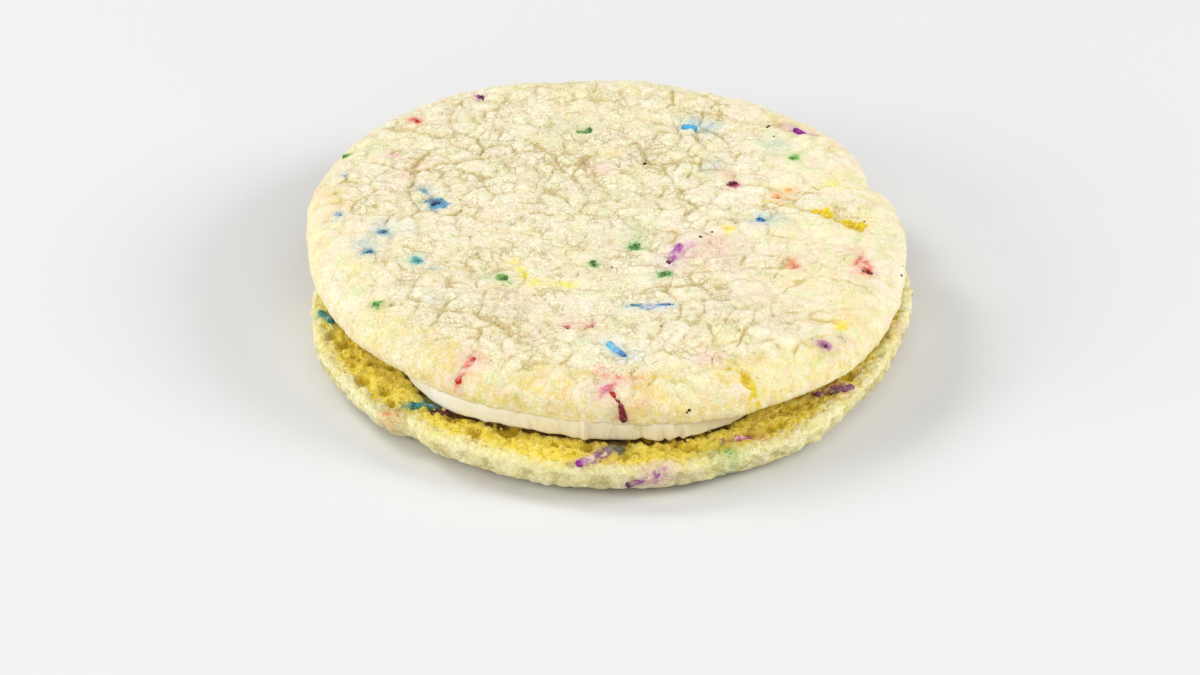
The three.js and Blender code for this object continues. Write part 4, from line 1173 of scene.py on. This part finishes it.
def crumbPlaces():
    for k in range(crumbs["count"]):
        angle = math.radians(crumbs["from"] + (crumbs["to"] - crumbs["from"]) * lot(k, 1, 421))
        x, y = inFromRim(lowerCookie, angle, crumbs["in"] + crumbs["further"] * lot(k, 2, 421))
        size = crumbs["least"] + (crumbs["most"] - crumbs["least"]) * lot(k, 3, 421) ** 2
        yield np.array([x, y, heightOverLower(x, y) + crumbs["sunk"] * size]), size


def fleckPlaces():  # where the finished crust is right above or below
    for x, y, size in flecks:
        start = (Vector((x, y, 0)) + standsAt) * mm + Vector((0, 0, 0.1))
        struck, place, normal, face = upperPiece.ray_cast(start, (0, 0, -1))
        if struck:
            yield np.array([x, y, place.z / mm]), size


pickNothing()
bpy.ops.mesh.primitive_ico_sphere_add(subdivisions=1, radius=mm)
lump = bpy.context.active_object
crumbPiece = strew("loose_crumbs", lump, crumbPlaces(), crumbs["flatness"], 422)
fleckPiece = strew("dark_flecks", lump, fleckPlaces(), fleckFlatness, 424)
bpy.data.objects.remove(lump)
print("crumbs and flecks strewn")


# materials

class Wire:  # one output of a node, so that shader sums read as plain sums
    def __init__(self, bench, socket):
        self.bench, self.socket = bench, socket

    def __add__(self, other):
        return self.bench.sum("ADD", self, other)

    def __sub__(self, other):
        return self.bench.sum("SUBTRACT", self, other)

    def __rsub__(self, other):
        return self.bench.sum("SUBTRACT", other, self)

    def __mul__(self, other):
        return self.bench.sum("MULTIPLY", self, other)


class Bench:  # the nodes of one material
    def __init__(self, name):
        self.material = bpy.data.materials.new(name)
        self.material.use_nodes = True
        self.tree = self.material.node_tree
        self.tree.nodes.clear()
        self.finish = self.tree.nodes.new("ShaderNodeBsdfPrincipled")
        end = self.tree.nodes.new("ShaderNodeOutputMaterial")
        self.tree.links.new(self.finish.outputs["BSDF"], end.inputs["Surface"])
        self.place = self.add("ShaderNodeTexCoord", {}, {}, "Object")

    def plug(self, node, key, value):
        if isinstance(value, Wire):
            self.tree.links.new(value.socket, node.inputs[key])
        else:
            node.inputs[key].default_value = value

    def add(self, kind, settings, values, output=0):
        node = self.tree.nodes.new(kind)
        for key, value in settings.items():
            setattr(node, key, value)
        for key, value in values.items():
            self.plug(node, key, value)
        return Wire(self, node.outputs[output])

    def sum(self, operation, first, second, clamp=False):
        settings = {"operation": operation, "use_clamp": clamp}
        return self.add("ShaderNodeMath", settings, {0: first, 1: second})

    def clamped(self, value):
        return self.sum("MULTIPLY", value, 1.0, True)

    def mix(self, factor, first, second, way="MIX"):
        settings = {"data_type": "RGBA", "blend_type": way}
        return self.add("ShaderNodeMix", settings, {0: factor, 6: first, 7: second}, 2)

    def stretch(self, value, low, high, toLow=0.0, toHigh=1.0):
        values = {"Value": value, "From Min": low, "From Max": high, "To Min": toLow, "To Max": toHigh}
        return self.add("ShaderNodeMapRange", {"clamp": True}, values)

    def noise(self, size, detail=2.0, roughness=0.5, place=None, output="Fac"):  # size in millimetres
        values = {"Vector": place or self.place, "Scale": 1 / (size * mm), "Detail": detail,
                  "Roughness": roughness}
        return self.add("ShaderNodeTexNoise", {}, values, output)

    def patches(self, size, detail, roughness, low, high, toLow=0.0, toHigh=1.0):
        return self.stretch(self.noise(size, detail, roughness), low, high, toLow, toHigh)

    def cells(self, size, feature="F1", place=None):
        values = {"Vector": place or self.place, "Scale": 1 / (size * mm)}
        return self.add("ShaderNodeTexVoronoi", {"feature": feature}, values, "Distance")

    def stored(self, name, output="Color"):  # what each point of the piece carries
        return self.add("ShaderNodeAttribute", {"attribute_name": name}, {}, output)

    def across(self):  # metres to the right
        return self.add("ShaderNodeSeparateXYZ", {}, {"Vector": self.place}, "X")

    def parts(self, colour):
        node = self.tree.nodes.new("ShaderNodeSeparateColor")
        self.tree.links.new(colour.socket, node.inputs[0])
        return [Wire(self, output) for output in node.outputs]

    def bump(self, height):  # a height in millimetres
        values = {"Height": height, "Distance": mm, "Strength": 1.0}
        return self.add("ShaderNodeBump", {}, values, "Normal")

    def strayed(self, size, reach):  # the place, pushed about so that a pattern wanders
        push = self.noise(size, output="Color")
        values = {0: push, 1: (2 * reach * mm,) * 3, 2: (-reach * mm,) * 3}
        offset = self.add("ShaderNodeVectorMath", {"operation": "MULTIPLY_ADD"}, values, "Vector")
        values = {0: self.place, 1: offset}
        return self.add("ShaderNodeVectorMath", {"operation": "ADD"}, values, "Vector")

    def set(self, **values):
        for key, value in values.items():
            self.plug(self.finish, key.replace("_", " "), value)


def crumbMaterial(name, looks):
    look = {key: paint(*value) if isinstance(value, tuple) else value for key, value in looks.items()}
    b = Bench(name)
    crease, bake, pit = b.parts(b.stored("tone"))
    skin = b.stored("tone", "Alpha")
    dyed, dyedness = b.stored("dye"), b.stored("dye", "Alpha")
    fine, tiny = b.noise(0.7, 3, 0.7), b.noise(0.28, 2, 0.6)
    strayed = b.strayed(2.2, 1.5)
    calm = b.stretch(b.across(), crinkle["rightFrom"] * mm, crinkle["rightTo"] * mm, 1.0, look["calmRight"])
    wide = b.stretch(b.cells(3.4, "DISTANCE_TO_EDGE", strayed), 0.012, 0.06, 1.0, 0.0)
    narrow = b.stretch(b.cells(1.8, "DISTANCE_TO_EDGE", strayed), 0.02, 0.09, 1.0, 0.0)
    narrow = narrow * b.patches(2.6, 2, 0.5, 0.52, 0.62)
    lines = b.clamped(wide * b.patches(4, 2, 0.5, 0.46, 0.6) + narrow * 0.6) * skin

    # the pale crumb, its skin, and its creases with their painted shade, laid over each other in this order
    valley = crease * b.stretch(fine, 0.25, 0.75, 0.6, 1.3)
    deep = b.stretch(crease + (fine - 0.5) * 0.9 + (tiny - 0.5) * 0.5, 0.5, 0.66)
    sandy = b.patches(11, 2, 0.5, 0.44, 0.6, 0.45, 1.0) * calm
    colour = b.mix(b.patches(9, 2, 0.55, 0.4, 0.62), look["pale"], look["buttery"])
    for amount, coat in (
        (b.patches(3.4, 2, 0.6, 0.48, 0.6), "blush"),
        (b.patches(2.8, 2, 0.6, 0.52, 0.64), "green"),
        (skin, "skin"),
        (b.clamped(valley), "valley"),
        (deep, "deep"),
        (lines, "line"),
        (b.stretch(fine, 0.5, 0.64) * sandy, "grain"),
        # pale specks: sugar grains with painted glints
        (b.stretch(tiny, 0.54, 0.66), "light"),
        (b.stretch(tiny, 0.46, 0.36) * sandy * 0.8, "grain"),
    ):
        colour = b.mix(amount * look[coat + "Amount"], colour, look[coat])

    # where it is baked golden, with pores
    brown = b.mix(b.patches(2.2, 3, 0.65, 0.44, 0.6), look["golden"], look["brown"])
    brown = b.mix(b.stretch(fine, 0.52, 0.64) * 0.65, brown, look["crumb"])
    holes = b.stretch(b.cells(1.5), 0.2, 0.3, 1.0, 0.0) * b.patches(3, 2, 0.5, 0.46, 0.56)
    pores = pit * 0.8 + holes * look["holeAmount"] + b.stretch(fine, 0.46, 0.38) * look["poreAmount"]
    brown = b.mix(b.clamped(pores), brown, look["pit"])
    baked = b.clamped(bake * b.patches(1.6, 3, 0.65, 0.42, 0.58, 0.4, 1.5) + b.stretch(bake, 0.7, 0.95))
    colour = b.mix(baked, colour, brown)
    speck = b.stretch(b.cells(2.6), 0.05, 0.085, 1.0, 0.0) * b.patches(5, 1, 0.5, 0.5, 0.56)
    colour = b.mix(speck * 0.8, colour, look["speck"])

    # dye drawn in from the sprinkles, and on the lower cookie the painted shadow under the buttercream
    thin = dyedness * b.stretch(fine, 0.3, 0.7, 0.55, 1.3)
    thick = b.stretch(dyedness + (tiny - 0.5) * 0.6 + (fine - 0.5) * 0.8, 0.5, 0.66)
    # painted shade in the hollows between grains darkens the dye colour
    dyed = b.mix(b.stretch(fine, 0.47, 0.38) * 0.65, dyed, grainShade, "MULTIPLY")
    colour = b.mix(b.clamped(thin + thick), colour, dyed)
    # pale sugar grains with painted glints, kept off the golden parts
    grainsAndGlints = b.stretch(tiny, 0.56, 0.66) * (1 - baked) * look["lightAmount"] * 0.5
    colour = b.mix(grainsAndGlints, colour, look["light"])

    height = fine * look["bump"] + tiny * look["bump"] * 0.5 - lines * look["lineDepth"]
    b.set(Base_Color=colour, Roughness=b.stretch(fine, 0.3, 0.7, 0.72, 0.9), Normal=b.bump(height))
    b.set(Subsurface_Weight=look["subsurface"], Subsurface_Radius=(1.0, 0.75, 0.45))
    b.set(Subsurface_Scale=0.0008, Specular_IOR_Level=0.12)
    return b.material


grainShade = (0.25, 0.25, 0.25, 1)  # painted shade: darkens the hollows between grains
upperLook = {
    "pale": (250, 245, 222), "buttery": (249, 241, 196), "blush": (252, 225, 206), "blushAmount": 0.65,
    "green": (228, 236, 182), "greenAmount": 0.9, "skin": (245, 236, 206), "skinAmount": 0.3,
    "line": (194, 172, 104), "lineAmount": 0.75, "lineDepth": 0.12, "calmRight": 0.5,
    "valley": (208, 188, 114), "valleyAmount": 0.9, "deep": (186, 160, 84), "deepAmount": 0.6,
    "grain": (208, 193, 142), "grainAmount": 0.7, "light": (255, 253, 244), "lightAmount": 0.7,
    "golden": (238, 212, 48), "brown": (220, 186, 36), "pit": (176, 140, 10), "speck": (150, 104, 60),
    "crumb": (252, 230, 150), "holeAmount": 0.3, "poreAmount": 0.25, "bump": 0.3, "subsurface": 0.12,
}
lowerLook = {
    "pale": (254, 250, 214), "buttery": (252, 244, 176), "blush": (250, 232, 184), "blushAmount": 0.4,
    "green": (236, 230, 140), "greenAmount": 0.35, "skin": (240, 230, 190), "skinAmount": 0.3,
    "line": (186, 164, 84), "lineAmount": 0.35, "lineDepth": 0.1, "calmRight": 1.0,
    "valley": (196, 176, 84), "valleyAmount": 0.7, "deep": (160, 132, 40), "deepAmount": 0.15,
    "grain": (216, 194, 96), "grainAmount": 0.62, "light": (255, 252, 222), "lightAmount": 0.62,
    "golden": (254, 230, 92), "brown": (246, 214, 66), "pit": (202, 170, 20), "speck": (130, 84, 40),
    "crumb": (254, 242, 158), "holeAmount": 0.85, "poreAmount": 0.6, "bump": 0.5, "subsurface": 0.12,
}


def sugarMaterial():
    b = Bench("sugar_rods")
    grit = b.noise(0.35, 3, 0.7)
    colour = b.mix(b.stretch(grit, 0.56, 0.7) * 0.35, b.stored("dye"), paint(245, 236, 214))
    # painted shade in the hollows between the sugar's grains
    colour = b.mix(b.stretch(grit, 0.47, 0.38) * 0.6, colour, grainShade, "MULTIPLY")
    b.set(Base_Color=colour, Roughness=b.stretch(grit, 0.3, 0.7, 0.5, 0.75))
    b.set(Normal=b.bump(grit * 0.2), Specular_IOR_Level=0.25)
    return b.material


def creamMaterial():
    b = Bench("ivory_buttercream")
    drawn = b.add("ShaderNodeMapping", {}, {"Vector": b.place, "Scale": (1, 1, 0.25)}, "Vector")
    streak, across = b.noise(1.1, 3, 0.6, drawn), b.across()
    # painted light: the cream is whiter at the left end and darker ivory towards the right, as the light
    # falls on it
    leftLitCream = b.mix(b.stretch(across, -0.03, -0.008), paint(255, 253, 246), paint(237, 226, 194))
    colour = b.mix(b.patches(6, 2, 0.5, 0.35, 0.65) * 0.6, leftLitCream, paint(240, 231, 202))
    streaks = b.stretch(streak, 0.5, 0.7) * b.stretch(across, -0.026, -0.004, 0.1, 0.6)
    colour = b.mix(streaks, colour, paint(212, 197, 152))
    b.set(Base_Color=colour, Roughness=b.stretch(streak, 0.3, 0.7, 0.38, 0.55))
    b.set(Normal=b.bump(streak * 0.2), Subsurface_Weight=0.35)
    b.set(Subsurface_Radius=(1.0, 0.85, 0.65), Subsurface_Scale=0.0015)
    return b.material


def looseMaterial():
    b = Bench("loose_crumb")
    fine = b.noise(0.3, 3, 0.6)
    colour = b.mix(b.patches(4, 2, 0.6, 0.4, 0.62), paint(240, 216, 120), paint(206, 162, 60))
    b.set(Base_Color=colour, Roughness=b.stretch(fine, 0.3, 0.7, 0.75, 0.92), Normal=b.bump(fine * 0.15))
    b.set(Subsurface_Weight=0.2, Subsurface_Radius=(1.0, 0.62, 0.32), Subsurface_Scale=0.001)
    return b.material


def fleckMaterial():
    b = Bench("scorched_fleck")
    fine = b.noise(0.2, 2, 0.6)
    colour = b.mix(b.stretch(fine, 0.4, 0.6), paint(24, 14, 12), paint(70, 34, 20))
    b.set(Base_Color=colour, Roughness=b.stretch(fine, 0.3, 0.7, 0.6, 0.85))
    return b.material


sugar = sugarMaterial()
for piece, material in (
    (upperPiece, crumbMaterial("upper_crumb", upperLook)),
    (lowerPiece, crumbMaterial("lower_crumb", lowerLook)),
    (upperSprinkles, sugar), (lowerSprinkles, sugar), (creamPiece, creamMaterial()),
    (crumbPiece, looseMaterial()), (fleckPiece, fleckMaterial()),
):
    piece.data.materials.append(material)
print("materials set")


# floor, light and camera

studio = {
    "lens": 338.7, "distance": 1930, "elevation": 31.2, "shiftX": -10 / 1200, "shiftY": -16 / 1200,
    "worldStrength": 0.385,
    "lights": [  # name, place, width, power
        ("key", (-0.75, 0.5, 0.8), 0.45, 5.7), ("fill", (0.12, -1.0, 0.8), 1.2, 5.4),
        ("left", (-1.12, -0.42, 0.47), 0.5, 6.2), ("right", (1.08, -0.1, 0.6), 0.5, 8.6),
    ],
    "floorTone": 223,
}


def makeStudio():
    pickNothing()
    bpy.ops.mesh.primitive_plane_add(size=6)
    floor = bpy.context.active_object
    floor.name = "studio_floor"
    b = Bench("pale_floor")
    b.set(Base_Color=paint(*[studio["floorTone"]] * 3), Roughness=0.9)
    floor.data.materials.append(b.material)

    world = bpy.data.worlds.new("studio_air")
    bpy.context.scene.world = world
    world.use_nodes = True
    world.node_tree.nodes["Background"].inputs["Color"].default_value = (1, 1, 1, 1)
    world.node_tree.nodes["Background"].inputs["Strength"].default_value = studio["worldStrength"]

    for name, place, size, power in studio["lights"]:
        bpy.ops.object.light_add(type="AREA", location=place)
        lamp = bpy.context.active_object
        lamp.name = name + "_light"
        lamp.data.size = size
        lamp.data.energy = power
        lamp.rotation_euler = (-Vector(place)).to_track_quat("-Z", "Y").to_euler()

    tilt = math.radians(studio["elevation"])
    aim = standsAt * mm
    place = aim + Vector((0, -math.cos(tilt), math.sin(tilt))) * studio["distance"] * mm
    bpy.ops.object.camera_add(location=place, rotation=(math.pi / 2 - tilt, 0, 0))
    camera = bpy.context.active_object
    camera.data.lens = studio["lens"]
    camera.data.sensor_width = 36
    camera.data.shift_x = studio["shiftX"]
    camera.data.shift_y = studio["shiftY"]
    camera.data.clip_end = 50
    bpy.context.scene.camera = camera
    bpy.context.scene.view_settings.view_transform = "Standard"


makeStudio()
print("studio lit")
